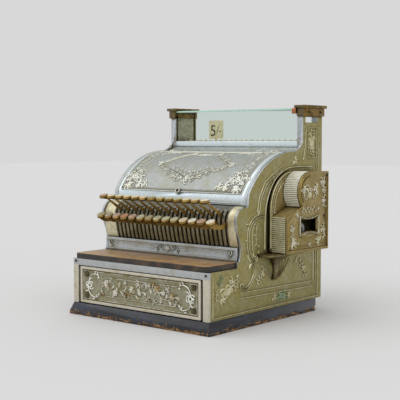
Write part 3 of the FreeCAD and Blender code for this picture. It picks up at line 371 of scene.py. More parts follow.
# A finish is its maker, its tones and its settings; a tone is a hex colour or one of the sidebar's.
FINISHES = {
    # Old nickel is silvery with a warm haze, and darkens where hands rub it through to brass.
    "nickel_front": (plated_casting, "nickel #C2B691 #5F574A", dict(bare=(0.52, 0.74), soil=0.2)),
    "nickel_blue": (plated_casting, "#C4CCD1 #B3B4A8 #5A6064", dict(bare=(0.48, 0.7), soil=0.25)),
    "nickel_blue_relief": (plated_casting, "#D6D6C8 #BDB9A0 #6A6C66", dict(
        bare=(0.5, 0.72), roughness=0.26, soil=0.1, sheltered=(0.3, 0.8))),
    "nickel_lid": (plated_casting, "lid_nickel #A5A592 #66665C", dict(
        bare=(0.46, 0.68), roughness=0.42, soil=0.22)),
    "nickel_lid_relief": (plated_casting, "#DFE0D6 #D2CDB0 #7F7D6C", dict(
        bare=(0.5, 0.7), patch=20.0, roughness=0.26, soil=0.15, sheltered=(0.3, 0.85))),
    "nickel_border": (plated_casting, "#E2EEF4 #D2DADA #87929A", dict(
        bare=(0.55, 0.75), roughness=0.24, soil=0.06)),
    "nickel_rail": (plated_casting, "#B9BCBC #A8A291 #5F5D54", dict(bare=(0.52, 0.74), soil=0.2)),
    "nickel_cap": (plated_casting, "#75684A #5C4C29 #342911", dict(
        bare=(0.5, 0.64), patch=14.0, roughness=0.3)),
    "drawn_nickel": (plain_metal, "#DEDACB #BDB6A0", dict(roughness=0.4, metallic=0.8)),
    "nickel_edge": (plated_casting, "#B5BBC0 #8F7A60 #5F5A48", dict(bare=(0.58, 0.7), roughness=0.28)),
    # The sides have lost nearly all their plate: yellow-green bronze with brown in the hollows.
    "bronze_side": (plated_casting, "brass #A8A27B #544A26", dict(
        bare=(0.42, 0.66), roughness=0.42, soil=0.35)),
    "bronze_side_relief": (plated_casting, "#C6BE8E #E0DBBC #655A31", dict(
        bare=(0.42, 0.62), patch=16.0, roughness=0.28, soil=0.1, sheltered=(0.3, 0.8))),
    "verdigris_relief": (plated_casting, "#8FA57C #B9C0A0 #3E5A3C", dict(
        bare=(0.45, 0.62), patch=10.0, roughness=0.45)),
    "tarnished_inside": (plated_casting, "#BDB699 #DAD6C2 #665E4A", dict(
        bare=(0.5, 0.6), patch=14.0, roughness=0.35, soil=0.6)),
    # The drawer's panel keeps its plate on the relief and has lost it on the ground.
    "drawer_ground": (plated_casting, "#9C9878 #A9A893 #544A2C", dict(
        bare=(0.42, 0.66), roughness=0.42, soil=0.4)),
    "drawer_relief": (plated_casting, "#E0DFD0 #A58D5C #5C4E2C", dict(
        bare=(0.46, 0.6), patch=18.0, roughness=0.26, soil=0.15, sheltered=(0.3, 0.8))),
    "drawer_bracket": (plated_casting, "#F0F0E6 #CFC9AC #6A6042", dict(
        bare=(0.5, 0.7), roughness=0.24, soil=0.1, sheltered=(0.3, 0.8))),
    "dark_bronze": (plated_casting, "#5A5A3C #6B6342 #2A2617", dict(
        bare=(0.45, 0.6), patch=8.0, roughness=0.5)),
    # The printer is a redder bronze, bright only on the edges that fingers reach.
    "printer_bronze": (plated_casting, "#9E8C56 #B09E6C #51431C", dict(
        bare=(0.42, 0.66), roughness=0.4, soil=0.4)),
    "printer_rim": (plated_casting, "#C4A75E #A78B4C #4A3C18", dict(
        bare=(0.45, 0.62), patch=16.0, roughness=0.32)),
    "printer_relief": (plated_casting, "#CFC6A0 #EEEAD6 #5F5430", dict(
        bare=(0.46, 0.58), patch=14.0, roughness=0.26, soil=0.2, sheltered=(0.3, 0.8))),
    "reed_bright": (plain_metal, "#DEDCC0 #BCB48A", dict(roughness=0.36, metallic=0.45)),
    "drum_bright": (plain_metal, "#F8F8EC #E4E1CC", dict(roughness=0.34, metallic=0.3)),
    "reed_ground": (plain_metal, "#655A38 #473B20", dict(roughness=0.5, metallic=0.6)),
    "bracket_bronze": (plated_casting, "#857A52 #6E5238 #241D10", dict(
        bare=(0.48, 0.6), patch=16.0, roughness=0.36)),
    "cap_bronze": (plated_casting, "#8F743A #6A5526 #2F2510", dict(
        bare=(0.45, 0.6), patch=16.0, roughness=0.4, metallic=0.85)),
    # The comb is rubbed bright at its ends and black with oil between the levers.
    "comb_end": (plated_casting, "#E0D9B8 #BDB48E #5E5434", dict(bare=(0.45, 0.65), roughness=0.38)),
    "comb_slats": (plated_casting, "#948D70 #786F4E #1E190C", dict(bare=(0.45, 0.65), roughness=0.4)),
    "comb_shaded": (plated_casting, "#6A6756 #87867E #1B180E", dict(
        bare=(0.52, 0.6), patch=9.0, roughness=0.36)),
    # Milled brass keeps a dull yellow where oil has protected it.
    "lever_brass": (plain_metal, "#C29F56 #715729", dict(roughness=0.34, metallic=0.8)),
    "cap_ring_brass": (plain_metal, "#45361F #2A2014", dict(roughness=0.45, metallic=0.8)),
    "wheel_brass": (plain_metal, "#A88C4C #6E5A30", dict(roughness=0.35)),
    "bell_brass": (plain_metal, "#B79A58 #84703F", dict(roughness=0.25)),
    # Iron and steel inside are dark and oiled, with bright wear only on what turns.
    "grey_iron": (plain_metal, "#3B3A36 #26241F", dict(roughness=0.6, metallic=0.8)),
    "bright_steel": (plain_metal, "#A9ABAA #77756C", dict(roughness=0.3)),
    "black_steel": (plain_metal, "#14130F #090907", dict(roughness=0.5, metallic=0.6)),
    "type_steel": (plain_metal, "#8D8E8C #4A4842", dict(roughness=0.35)),
    "screw_steel": (plain_metal, "#5E584C #2E2A23", dict(roughness=0.4)),
    "sheet_copper": (plain_metal, "#BF8256 #96643F", dict(roughness=0.36)),
    # Varnish has gone from the slab where money slid over it, and is black along its edge.
    "walnut": (varnished_wood, "walnut #6B4F35 #B3946A", {}),
    "black_edge": (varnished_wood, "#2C251D #0E0C0A #5B4129", dict(grain=3.5)),
    "oak_drawer": (varnished_wood, "#A98C62 #7C6342 #B79C74", dict(roughness=0.6)),
    "deal_deck": (varnished_wood, "#8A6F4B #5F4A31 #97805E", dict(roughness=0.65)),
    "black_paint": (chipped_paint, "paint #2A303E #A87C48", dict(foot=16.0)),
    # Celluloid key tops were bought in colours and have all yellowed.
    "ivory_top": (moulded_celluloid, "celluloid #BBAF90", {}),
    "olive_top": (moulded_celluloid, "#A59A74 #867B58", {}),
    "green_top": (moulded_celluloid, "#B9B896 #989A78", {}),
    "white_top": (moulded_celluloid, "#E2DCCB #C9C0A8", {}),
    "orange_top": (moulded_celluloid, "#B9835F #9C6F4E", {}),
    "pink_top": (moulded_celluloid, "#C0A088 #9C816C", {}),
    # Enamelled tin is even and half glossy, with foxing at its edges.
    "cream_enamel": (enamelled_tin, "enamel #A98F5C", {}),
    "printed_ink": (enamelled_tin, "#2E2A24 #453D33", {}),
    "window_glass": (cylinder_glass, "#F2F8F6", {}),
    # The sawn edge of thick glass gathers its green.
    "glass_edge": (enamelled_tin, "#B9DCCB #8FBFA8", {}),
}


# Meshes

def piece(name, bm, finish_names, body="cabinet", replaces=(), outward=True):
    """Makes an object of a mesh in millimetres and lets it ride a body."""
    if outward:
        bmesh.ops.recalc_face_normals(bm, faces=bm.faces)
    bmesh.ops.scale(bm, vec=Vector((MM, MM, MM)), verts=bm.verts)
    mesh = bpy.data.meshes.new(name)
    bm.to_mesh(mesh)
    bm.free()
    mesh.shade_smooth()
    mesh.set_sharp_from_angle(angle=math.radians(CRISP))
    for finish_name in finish_names:
        mesh.materials.append(finish(finish_name))
    made = bpy.data.objects.new(name, mesh)
    bpy.context.scene.collection.objects.link(made)
    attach(made, body)
    if replaces:
        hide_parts(*replaces)


def copy_of(node, chooser, cuts):
    """A node's mesh in millimetres, cut between its finishes and merged, with its flat faces whole."""
    bm = bmesh.new()
    bm.from_mesh(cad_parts[node].data)
    bmesh.ops.scale(bm, vec=Vector((1 / MM,) * 3), verts=bm.verts)
    bmesh.ops.remove_doubles(bm, verts=bm.verts, dist=MERGED)
    for place, normal in cuts:
        bmesh.ops.bisect_plane(bm, geom=bm.verts[:] + bm.edges[:] + bm.faces[:], dist=0.001, plane_co=place,
            plane_no=normal)
    bm.normal_update()
    for face in bm.faces:
        face.material_index = chooser(face) if chooser else 0
    bmesh.ops.dissolve_limit(bm, angle_limit=math.radians(0.2), verts=bm.verts, edges=bm.edges,
        delimit={"NORMAL", "MATERIAL"})
    return bm


def round_edges(bm, radius):
    """Rounds the mesh's sharp edges, as casting and handling leave them."""
    bm.normal_update()
    edges = [
        edge for edge in bm.edges
        if edge.is_manifold and edge.calc_face_angle(0.0) > math.radians(ROUNDED)
    ]
    bmesh.ops.bevel(bm, geom=edges, offset=radius, offset_type="OFFSET", affect="EDGES", segments=2,
        profile=0.5, material=-1, clamp_overlap=True)


def dressed(name, node, finish_names, radius=None, chooser=None, cuts=(), body="cabinet"):
    """A node's own shape with worn edges, standing for it; cuts are planes between its finishes."""
    bm = copy_of(node, chooser, cuts)
    if radius is None:
        radius = sizes().edge_round / MM
    if radius:
        round_edges(bm, radius)
    piece(name, bm, finish_names, body, (node,), outward=False)


def coat(finish_name, *nodes):
    """Gives nodes that keep their CAD shape a finish."""
    for node in nodes:
        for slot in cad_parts[node].material_slots:
            slot.material = finish(finish_name)


# Relief ornament

def curl(place, heading, length, turn, tighten, steps):
    """Points of a curve that leaves a place and bends more and more towards its end."""
    points = [Vector(place)]
    stride = length / steps
    for step in range(steps):
        along = (step + 0.5) / steps
        angle = math.radians(heading + turn * along ** tighten)
        points.append(points[-1] + Vector((math.cos(angle), math.sin(angle))) * stride)
    return points


def through(points, steps=5, closed=False):
    """A smooth curve through a few chosen points."""
    points = [Vector(point) for point in points]
    count = len(points)
    spans = count if closed else count - 1
    curve = []
    for span in range(spans):
        places = range(span - 1, span + 3)
        near = [points[at % count if closed else min(max(at, 0), count - 1)] for at in places]
        for step in range(steps):
            along = step / steps
            curve.append(0.5 * (
                2 * near[1] + (near[2] - near[0]) * along
                + (2 * near[0] - 5 * near[1] + 4 * near[2] - near[3]) * along ** 2
                + (3 * near[1] - near[0] - 3 * near[2] + near[3]) * along ** 3
            ))
    return curve + [points[0] if closed else points[-1]]


def across(points, index, closed):
    """The mitred direction to the left of a path at one of its points."""
    last = len(points) - 1
    before = points[index] - points[index - 1] if index else None
    after = points[index + 1] - points[index] if index < last else None
    if closed and index in (0, last):
        before, after = points[last] - points[last - 1], points[1] - points[0]
    before = (before or after).normalized()
    after = (after or before).normalized()
    along = before + after
    if along.length < 0.2:
        along = before
    along.normalize()
    mitre = 1 / max(along.dot(after), 0.45)
    return Vector((-along.y, along.x)) * mitre


def blunt(points, width):
    """A path with one more point close to each end, so that its line ends bluntly."""
    def near(end, inward):
        return end.lerp(inward, min(width / 3 / (inward - end).length, 0.5))

    return [points[0], near(points[0], points[1]), *points[1:-1], near(points[-1], points[-2]), points[-1]]


class Relief:
    """Ornament drawn in (u, v) millimetres, then laid on a surface; heights are shares of its own."""

    def __init__(self, *draws, height=None):
        self.bm = bmesh.new()
        self.height = height or sizes().relief_height / MM
        for draw in draws:
            draw(self)

    def lay(self, name, finish_name, place, body="cabinet"):
        """Makes the relief one piece: place turns (u, v, rise) into a point of the frame."""
        bmesh.ops.remove_doubles(self.bm, verts=self.bm.verts, dist=0.01)
        for vert in self.bm.verts:
            vert.co = place(*vert.co)
        piece(name, self.bm, (finish_name,), body)

    def stroke(self, points, widths, height=1.0, closed=False, sides=STROKE_SIDES):
        """A raised half-round line along a path; widths are at its start, middle and end."""
        start, middle, end = (widths,) * 3 if isinstance(widths, (int, float)) else widths
        if not closed:
            points = blunt(points, middle)
        last = len(points) - 1
        grid = bmesh.ops.create_grid(self.bm, x_segments=last, y_segments=sides, size=1.0)
        leftward = [across(points, index, closed) for index in range(last + 1)]
        for vert in grid["verts"]:
            index = round((vert.co.x + 1) / 2 * last)
            turn = (vert.co.y + 1) * math.pi
            along = index / last
            width = (
                start * (1 - along) * (1 - 2 * along) + 4 * middle * along * (1 - along)
                + end * along * (2 * along - 1)
            )
            rise = height * self.height * min(width / max(start, middle, end), 1.0) ** 0.5
            if not closed and index in (0, last):
                width = rise = 0.0
            place = points[index] + leftward[index] * (math.cos(turn) * width / 2)
            level = math.sin(turn)
            vert.co = (place.x, place.y, level * rise if level > 0 else level * SUNK)

    def bead(self, place, size, height=1.0):
        """A round boss."""
        made = bmesh.ops.create_uvsphere(self.bm, u_segments=10, v_segments=6, radius=1.0)
        half = size / 2
        for vert in made["verts"]:
            out, along, up = vert.co
            vert.co = (place[0] + out * half, place[1] + along * half, up * height * self.height)

    def line(self, points, widths, height=1.0):
        """A smooth line through a few chosen points."""
        self.stroke(through(points), widths, height)

    def double(self, points, gap, width, height=1.0, closed=False):
        """Two thin raised lines side by side along a smooth path."""
        path = through(points, closed=closed)
        for shift in (gap / 2, -gap / 2):
            beside = [point + across(path, index, closed) * shift for index, point in enumerate(path)]
            self.stroke(beside, width, height, closed)

    def rail(self, points, width, height=1.0, closed=False):
        """A raised line with straight stretches and mitred corners."""
        path = [Vector(point) for point in points]
        self.stroke(path + path[:1] if closed else path, width, height, closed, sides=6)

    def frame(self, low, high, width, height=1.0):
        """A raised line round a rectangle."""
        self.rail((low, (high[0], low[1]), high, (low[0], high[1])), width, height, closed=True)

    def leaf(self, place, heading, length, turn, width, height=1.0):
        """One fat pointed leaf that curls to a side."""
        path = curl(place, heading, length, turn, 1.3, 7)
        self.stroke(path, (width * 0.45, width, width * 0.25), height, sides=6)

    def volute(self, place, heading, length, turn, width, height=1.0):
        """A stem that rolls up into a bossed spiral."""
        path = curl(place, heading, length, turn, 2.2, 20)
        self.stroke(path, (width * 0.6, width, width * 0.6), height)
        self.bead(path[-1], width * 1.5, height * 1.15)

    def spray(self, place, heading, size, side=1, height=1.0):
        """A cluster of leaves that fan out from a boss."""
        for spread, share, turn in (
            (0, 1.0, 110), (30, 0.75, 190), (-34, 0.85, -170), (80, 0.6, 210), (-80, 0.6, -200),
        ):
            self.leaf(place, heading + spread * side, size * share, turn * side, size * 0.23, height)
        self.bead(place, size * 0.2, height * 1.2)

    def flower(self, place, size, height=1.0, petals=6, lean=0.0):
        """A rosette of petals round a boss."""
        for petal in range(petals):
            self.leaf(place, lean + 360 / petals * petal, size / 2, 60, size * 0.34, height)
        self.bead(place, size * 0.3, height * 1.35)

    def vine(self, points, leaf_size, every, width, height=1.0, side=1):
        """A stem through chosen points with leaves that curl off it to alternate sides."""
        path = through(points)
        self.stroke(path, (width * 0.7, width, width * 0.7), height)
        for count, index in enumerate(range(1, len(path) - 1, every)):
            along = path[index + 1] - path[index]
            heading = math.degrees(math.atan2(along.y, along.x))
            turn = side if count % 2 else -side
            self.leaf(path[index], heading + 48 * turn, leaf_size, 70 * turn, leaf_size * 0.36, height)


def on_side(side, plane=HALF_WIDTH):
    """The outer face of a casting: u is back and v is up."""
    return lambda u, v, rise: Vector((side * (plane + rise), FRONT + u, v))


def on_front(back):
    """An upright face that looks forward: u is across and v is up."""
    return lambda u, v, rise: Vector((u, FRONT + back - rise, v))


def on_deck(level):
    """A level face: u is across and v is back."""
    return lambda u, v, rise: Vector((u, FRONT + v, level + rise))


def arc_centre(start, end, radius):
    """The centre, below its chord, of an arc between two points."""
    half = (end - start) / 2
    drop = math.sqrt(radius ** 2 - half.length_squared)
    return start + half + Vector((half.y, -half.x)).normalized() * drop


def turn_to(centre, point):
    """How far the direction from a centre to a point has turned from the front upwards."""
    return math.atan2(point.y - centre.y, centre.x - point.x)


def at_turn(centre, turn, radius):
    """The point of a circle in back and height at a turn from the front upwards."""
    return centre + Vector((-math.cos(turn), math.sin(turn))) * radius


LID_CENTRE = arc_centre(LID_KNEE, ROOF_END, LID_RADIUS)
DRUM_CENTRE = arc_centre(PRINTER_NOTCH, DRUM_TOP, DRUM_RADIUS)
FLANGE_CENTRE = arc_centre(FLANGE_SPRING, FLANGE_CROWN, FLANGE_RADIUS)
KNEE_TURN = turn_to(LID_CENTRE, LID_KNEE)
NOTCH_TURN = turn_to(DRUM_CENTRE, PRINTER_NOTCH)


def on_lid(u, v, rise):
    """The lid's outer face: u is across, and v runs up the curve from the knee."""
    if v < 0:
        down = (LID_FOOT - LID_KNEE).normalized()
        spot = LID_KNEE - down * v + Vector((down.y, -down.x)) * rise
    else:
        spot = at_turn(LID_CENTRE, KNEE_TURN + v / LID_RADIUS, LID_RADIUS + rise)
    return Vector((u, FRONT + spot.x, spot.y))


def on_drum(u, v, rise):
    """The printer's drum: u is across, and v runs up its curve from the notch."""
    spot = at_turn(DRUM_CENTRE, NOTCH_TURN + v / DRUM_RADIUS, DRUM_RADIUS + rise)
    return Vector((u, FRONT + spot.x, spot.y))


def on_leg(u, v, rise):
    """The outer face of the console's leg: u is back and v is up."""
    turn = min((LEG_TOP - v) / LEG_DROP, 1) * math.pi / 2
    drawn_in = (LEG_SHOULDER - LEG_TIP) * (1 - math.cos(turn)) ** 0.9
    return Vector((LEG_SHOULDER - drawn_in + rise, FRONT + u, v))


class RegisterOperator(bpy.types.Operator):
    bl_options = {"REGISTER", "UNDO"}


class MakeSides(RegisterOperator):
    """Dress the two side castings and lay their scrolls on them"""
    bl_idname = "register.sides"
    bl_label = "Side castings"

    def execute(self, context):
        for label, side in (("right", 1), ("left", -1)):
            def facing(face):
                if abs(face.normal.x) < FACING:
                    return 1
                return 0 if face.normal.x * side > 0 else 2

            dressed(f"{label}_casting", f"{label}_side", ("bronze_side", "nickel_edge", "tarnished_inside"),
                chooser=facing)
            for kind, finish_name, draws in (
                ("scrolls", "bronze_side_relief", (self.scrolls, self.borders, self.foliage, self.tower)),
                ("green_sprigs", "verdigris_relief", (self.sprigs,)),
            ):
                Relief(*draws).lay(f"{label}_casting_{kind}", finish_name, on_side(side))
        return {"FINISHED"}

    def sprigs(self, art):
        """Two sprigs that verdigris has turned green."""
        art.flower((263, 52), 13)
        art.spray((257, 52), 180, 22)
        art.spray((270, 52), 0, 22, -1)
        art.vine(((32, 100), (34, 112), (44, 121)), 8, 2, 1.6)

    def scrolls(self, art):
        """The great S of scrolls behind the keys, double lined."""
        outer = ((191, 240), (178, 241), (164, 238), (147, 229), (137, 215), (133, 200), (133, 180),
            (138, 160), (148, 145), (158, 142), (163, 149), (157, 153))
        art.double(outer, 5.6, 2.4, 1.3)
        inner = ((163, 230), (153, 218), (148, 200), (148, 180), (152, 164), (158, 158))
        art.line(inner, (1.2, 2.0, 1.2))
        lower = ((147, 138), (155, 131), (158, 120), (152, 106), (141, 93), (128, 85), (115, 85), (108, 92),
            (113, 97))
        art.double(lower, 5.0, 2.2, 1.3)
        for spot, size in (((158, 152), 5.5), ((113, 96), 5.0), ((107, 77), 4.0)):
            art.bead(spot, size, 1.5)
        for place, heading, length, turn in (
            ((146, 140), 150, 24, -60), ((149, 139), 210, 19, 60), ((153, 148), 100, 15, -70),
            ((140, 222), 150, 14, 60), ((133, 190), 200, 11, -60), ((170, 240), 60, 13, 60),
        ):
            art.leaf(place, heading, length, turn, 5, 1.1)
        art.vine(((168, 226), (163, 208), (162, 190), (166, 174), (176, 164)), 10, 3, 1.8)

    def borders(self, art):
        """Raised lines that follow the lid's curve, the printer's arch, the foot and the rear."""
        lid_line = ((270, 349), (248, 337), (222, 325), (200, 312), (187, 294), (177, 277), (174, 261),
            (171, 248))
        art.double(lid_line, 7.5, 2.0)
        art.vine(((262, 338), (240, 326), (218, 314), (203, 300), (192, 284), (185, 268)), 7, 3, 1.4)
        arch = ((194, 163), (194, 200), (195, 237), (201, 268), (214, 296), (232, 318), (258, 334),
            (286, 343), (330, 345), (384, 345))
        art.line(arch, 3.4, 1.5)
        art.rail(((12, 122), (12, 34), (410, 34), (410, 372)), 2.2)
        art.rail(((124, 77), (386, 72)), 2.4, 1.1)
        art.rail(((106, 65), (386, 60)), 2.4, 1.1)
        art.rail(((392, 64), (392, 352)), 2.6)
        art.rail(((401, 60), (401, 352)), 1.8)

    def foliage(self, art):
        """Flowers and leafy sprays low on the casting."""
        art.flower((62, 84), 21, 1.1)
        art.spray((58, 88), 140, 26, 1, 1.1)
        art.spray((70, 90), 55, 24, -1, 1.1)
        art.spray((48, 74), 195, 20)
        art.spray((77, 104), 70, 18)
        art.vine(((36, 60), (46, 66), (54, 76)), 11, 2, 2.0)
        art.vine(((84, 84), (92, 92), (96, 104), (92, 116)), 10, 2, 1.8)
        art.vine(((24, 66), (24, 82), (28, 96)), 9, 2, 1.8)
        art.vine(((166, 90), (172, 97), (182, 104), (188, 112), (190, 126)), 11, 2, 2.0)
        art.flower((188, 109), 13, 1.1)
        art.vine(((362, 84), (354, 96), (350, 108), (342, 118), (330, 124)), 11, 2, 2.0)
        art.flower((351, 107), 13, 1.1)
        art.spray((322, 128), 170, 15)
        art.spray((289, 53), 0, 16)
        art.spray((236, 52), 180, 16)

    def tower(self, art):
        """The panel on the tower's side, the cove under it and the corner behind the lid."""
        art.frame((366, 366), (402, 436), 1.8)
        art.flower((383, 399), 19, 1.1, 8)
        art.spray((383, 408), 95, 25)
        art.spray((383, 390), 265, 20)
        art.vine(((374, 414), (378, 424), (386, 431)), 9, 2, 1.8)
        art.vine(((394, 424), (390, 414), (384, 408)), 8, 2, 1.6)
        art.vine(((372, 374), (380, 380), (388, 376), (396, 382)), 8, 2, 1.6)
        art.line(((347, 360), (351, 374), (354, 392), (357, 412), (358, 434)), 2.0)
        for level in range(375, 455, 10):
            art.bead((411, level), 3.6)
        art.spray((318, 359), 175, 18)


class MakeFrontFrame(RegisterOperator):
    """Dress the frame round the drawer"""
    bl_idname = "register.front_frame"
    bl_label = "Front frame"

    def execute(self, context):
        rail_foot = DRAWER_HIGH.z + 2

        def upper(face):
            return 1 if face.calc_center_median().z > rail_foot - 1 else 0

        dressed("drawer_surround", "front_frame", ("nickel_front", "nickel_rail"),
            chooser=upper, cuts=(((0, 0, rail_foot), (0, 0, 1)),))
        return {"FINISHED"}


class MakeDrawer(RegisterOperator):
    """Dress the drawer's front and its oak box"""
    bl_idname = "register.drawer"
    bl_label = "Drawer"

    def execute(self, context):
        def sunk(face):
            middle = face.calc_center_median()
            if abs(face.normal.x) > FACING and abs(middle.x) > DRAWER_HIGH.x - 1:
                return 2
            return 1 if middle.y > DRAWER_LOW.y + 1 and face.normal.y < -FACING else 0

        dressed("drawer_plate", "drawer_front", ("nickel_front", "drawer_ground", "drawn_nickel"),
            chooser=sunk, body="drawer")
        for name, finish_name, draws in (
            ("drawer_ornament", "drawer_relief", (self.lines, self.stems)),
            ("drawer_brackets", "drawer_bracket", (self.brackets,)),
            ("drawer_rosettes", "dark_bronze", (self.rosettes,)),
        ):
            Relief(*draws).lay(name, finish_name, on_front(PANEL_SINK), "drawer")
        coat("oak_drawer", "drawer_box", "drawer_runners")
        return {"FINISHED"}

    def rosettes(self, art):
        """A dark flower in each corner of the panel."""
        for side in (1, -1):
            for level in (47.5, 97):
                art.flower((side * 162, level), 15, 1.1, 8)

    def lines(self, art):
        """Two lines round the sunk panel and one above and below the stem."""
        inset = 10
        half = DRAWER_HIGH.x - inset
        art.frame((-half, DRAWER_LOW.z + inset), (half, DRAWER_HIGH.z - inset), 2.2, 0.8)
        for level in (94, 51):
            art.rail(((-116, level), (116, level)), 2.0, 0.8)

    def stems(self, art):
        """One winding stem with flowers where it turns."""
        stem = ((-112, 84), (-99, 78), (-84, 70), (-69, 62), (-50, 70), (-30, 66), (-10, 62), (6, 68),
            (25, 80), (40, 84), (57, 82), (70, 66), (88, 62), (104, 66), (114, 78))
        art.vine(stem, 15, 3, 2.2, 1.1)
        for spot, size in (((-99, 79), 21), ((-69, 62), 17), ((-57, 81), 15), ((-18, 74), 19), ((6, 68), 14),
                ((35, 88), 12), ((57, 82), 21), ((77, 76), 14), ((102, 70), 17), ((-38, 88), 11)):
            art.flower(spot, size, 1.3, 6, spot[0])
        for spot, heading, size in (((3, 86), 80, 18), ((-84, 84), 60, 15), ((-40, 60), 250, 14),
                ((30, 60), 300, 15), ((52, 56), 200, 14), ((88, 84), 40, 15), ((-110, 60), 200, 14),
                ((112, 58), -40, 14), ((18, 88), 130, 11)):
            art.spray(spot, heading, size, 1, 1.1)

    def brackets(self, art):
        """The C-scrolls that close the stem's panel at both ends."""
        for side in (1, -1):
            scroll = ((121, 91), (127, 98), (138, 99), (148, 94), (154, 84), (157, 75), (164, 72),
                (157, 69), (155, 60), (149, 51), (139, 46), (129, 46), (123, 53))
            art.line([(side * u, v) for u, v in scroll], (1.8, 3.4, 1.8), 1.4)
            for level in (91, 53):
                art.bead((side * 123, level), 6.0, 1.6)
            for heading, level in ((100, 76), (260, 68)):
                art.spray((side * 153, level), heading, 20, side, 1.2)
            for u, v, heading in ((123, 96, 20), (133, 99, 60), (124, 48, -20), (135, 44, -60)):
                art.leaf((side * u, v), 90 + side * (heading - 90), 11, side * 160, 4, 1.2)


class MakeBase(RegisterOperator):
    """Paint the plinth and varnish the counter slab"""
    bl_idname = "register.base"
    bl_label = "Plinth and slab"

    def execute(self, context):
        dressed("painted_plinth", "plinth", ("black_paint",), 1.8)
        dressed("walnut_slab", "counter_slab", ("walnut", "black_edge"), 1.4,
            lambda face: 0 if face.normal.z > FACING else 1)
        return {"FINISHED"}


class MakeBreast(RegisterOperator):
    """Dress the moulding and the comb that guides the keys"""
    bl_idname = "register.breast"
    bl_label = "Breast moulding and comb"

    def execute(self, context):
        def banded(face):
            middle = face.calc_center_median()
            if not COMB_ENDS[0] < middle.x < COMB_ENDS[1]:
                return 0
            return 2 if middle.z > COMB_TURN else 1

        dressed("breast_plate", "breast_moulding", ("nickel_blue",))
        dressed("comb_plate", "key_comb", ("comb_end", "comb_slats", "comb_shaded"), 0.4,
            banded, [((end, 0, 0), (1, 0, 0)) for end in COMB_ENDS] + [((0, 0, COMB_TURN), (0, 0, 1))])
        Relief(self.ornament).lay("breast_scrolls", "nickel_blue_relief",
            on_front(MOULDING_LOW.y - FRONT + 1))
        return {"FINISHED"}

    def ornament(self, art):
        """A small cluster in the middle, a scroll at each end and a line along both edges."""
        middle = (MOULDING_LOW.z + MOULDING_HIGH.z) / 2
        for offset in (10.5, -10.5):
            art.rail(((-194, middle + offset), (194, middle + offset)), 2.4, 0.8)
        for side in (1, -1):
            outward = 90 - side * 90
            art.volute((side * 8, middle - 4), outward, 30, side * 290, 2.0)
            art.volute((side * 22, middle + 4), outward, 26, side * -290, 1.8)
            art.leaf((side * 40, middle), outward, 20, 0, 4.5)
            art.volute((side * 172, middle - 4), outward, 30, side * 280, 2.4, 1.2)
            art.volute((side * 172, middle + 4), outward, 22, side * -240, 2.0, 1.2)
        art.flower((0, middle), 14, 1.3, 8)


class MakeKeys(RegisterOperator):
    """Finish the levers and set a ringed celluloid top on each"""
    bl_idname = "register.keys"
    bl_label = "Keys"

    def execute(self, context):
        tops = {"olive_top": (1, 3, 13, 14), "pink_top": (2, 5, 9, 25), "orange_top": (7,),
            "green_top": (11, 15, 16, 17, 18, 19, 20), "white_top": (23, 26, 27)}
        for number in range(1, KEY_COUNT + 1):
            label = f"key_{number:02d}"
            coat("lever_brass", label)
            seat, tilt = (LOWER_CAP, LOWER_TILT) if number % 2 else (UPPER_CAP, UPPER_TILT)
            across_at = KEY_SHIFT + KEY_PITCH * (number - 1 - (KEY_COUNT - 1) / 2)
            bm = self.cap()
            turn = Matrix.Rotation(math.radians(tilt), 4, "X")
            shift = Matrix.Translation((across_at, FRONT + seat.x, seat.y))
            bmesh.ops.transform(bm, matrix=shift @ turn, verts=bm.verts)
            top = next((name for name, numbers in tops.items() if number in numbers), "ivory_top")
            piece(f"{label}_cap", bm, ("cap_ring_brass", top), label)
        return {"FINISHED"}

    def cap(self):
        """A spun brass cup with a rolled lip that holds a thick moulded top."""
        bm = bmesh.new()
        radius, rise = CAP_RADIUS + 0.2, CAP_RISE
        cup = ((0, -0.3), (radius - 2.2, -0.3), (radius - 0.5, 0.3), (radius, 1.2), (radius - 0.1, 2.4),
            (radius - 0.8, 3.0))
        top = ((radius - 0.8, 3.0), (radius - 0.5, 3.8), (radius - 0.4, rise - 1.8),
            (radius - 0.9, rise - 0.5), (radius - 2.2, rise + 0.2), (radius - 5.0, rise + 0.4),
            (0, rise + 0.1))
        for outline, index in ((cup, 0), (top, 1)):
            verts = [bm.verts.new((out, 0, up)) for out, up in outline]
            edges = [bm.edges.new(pair) for pair in zip(verts, verts[1:])]
            before = set(bm.faces)
            bmesh.ops.spin(bm, geom=verts + edges, cent=(0, 0, 0), axis=(0, 0, 1), dvec=(0, 0, 0),
                angle=math.tau, steps=28, use_merge=True, use_duplicate=False)
            for face in set(bm.faces) - before:
                face.material_index = index if face.calc_center_median().z > RING_HEIGHT else 0
        bmesh.ops.remove_doubles(bm, verts=bm.verts, dist=0.01)
        return bm


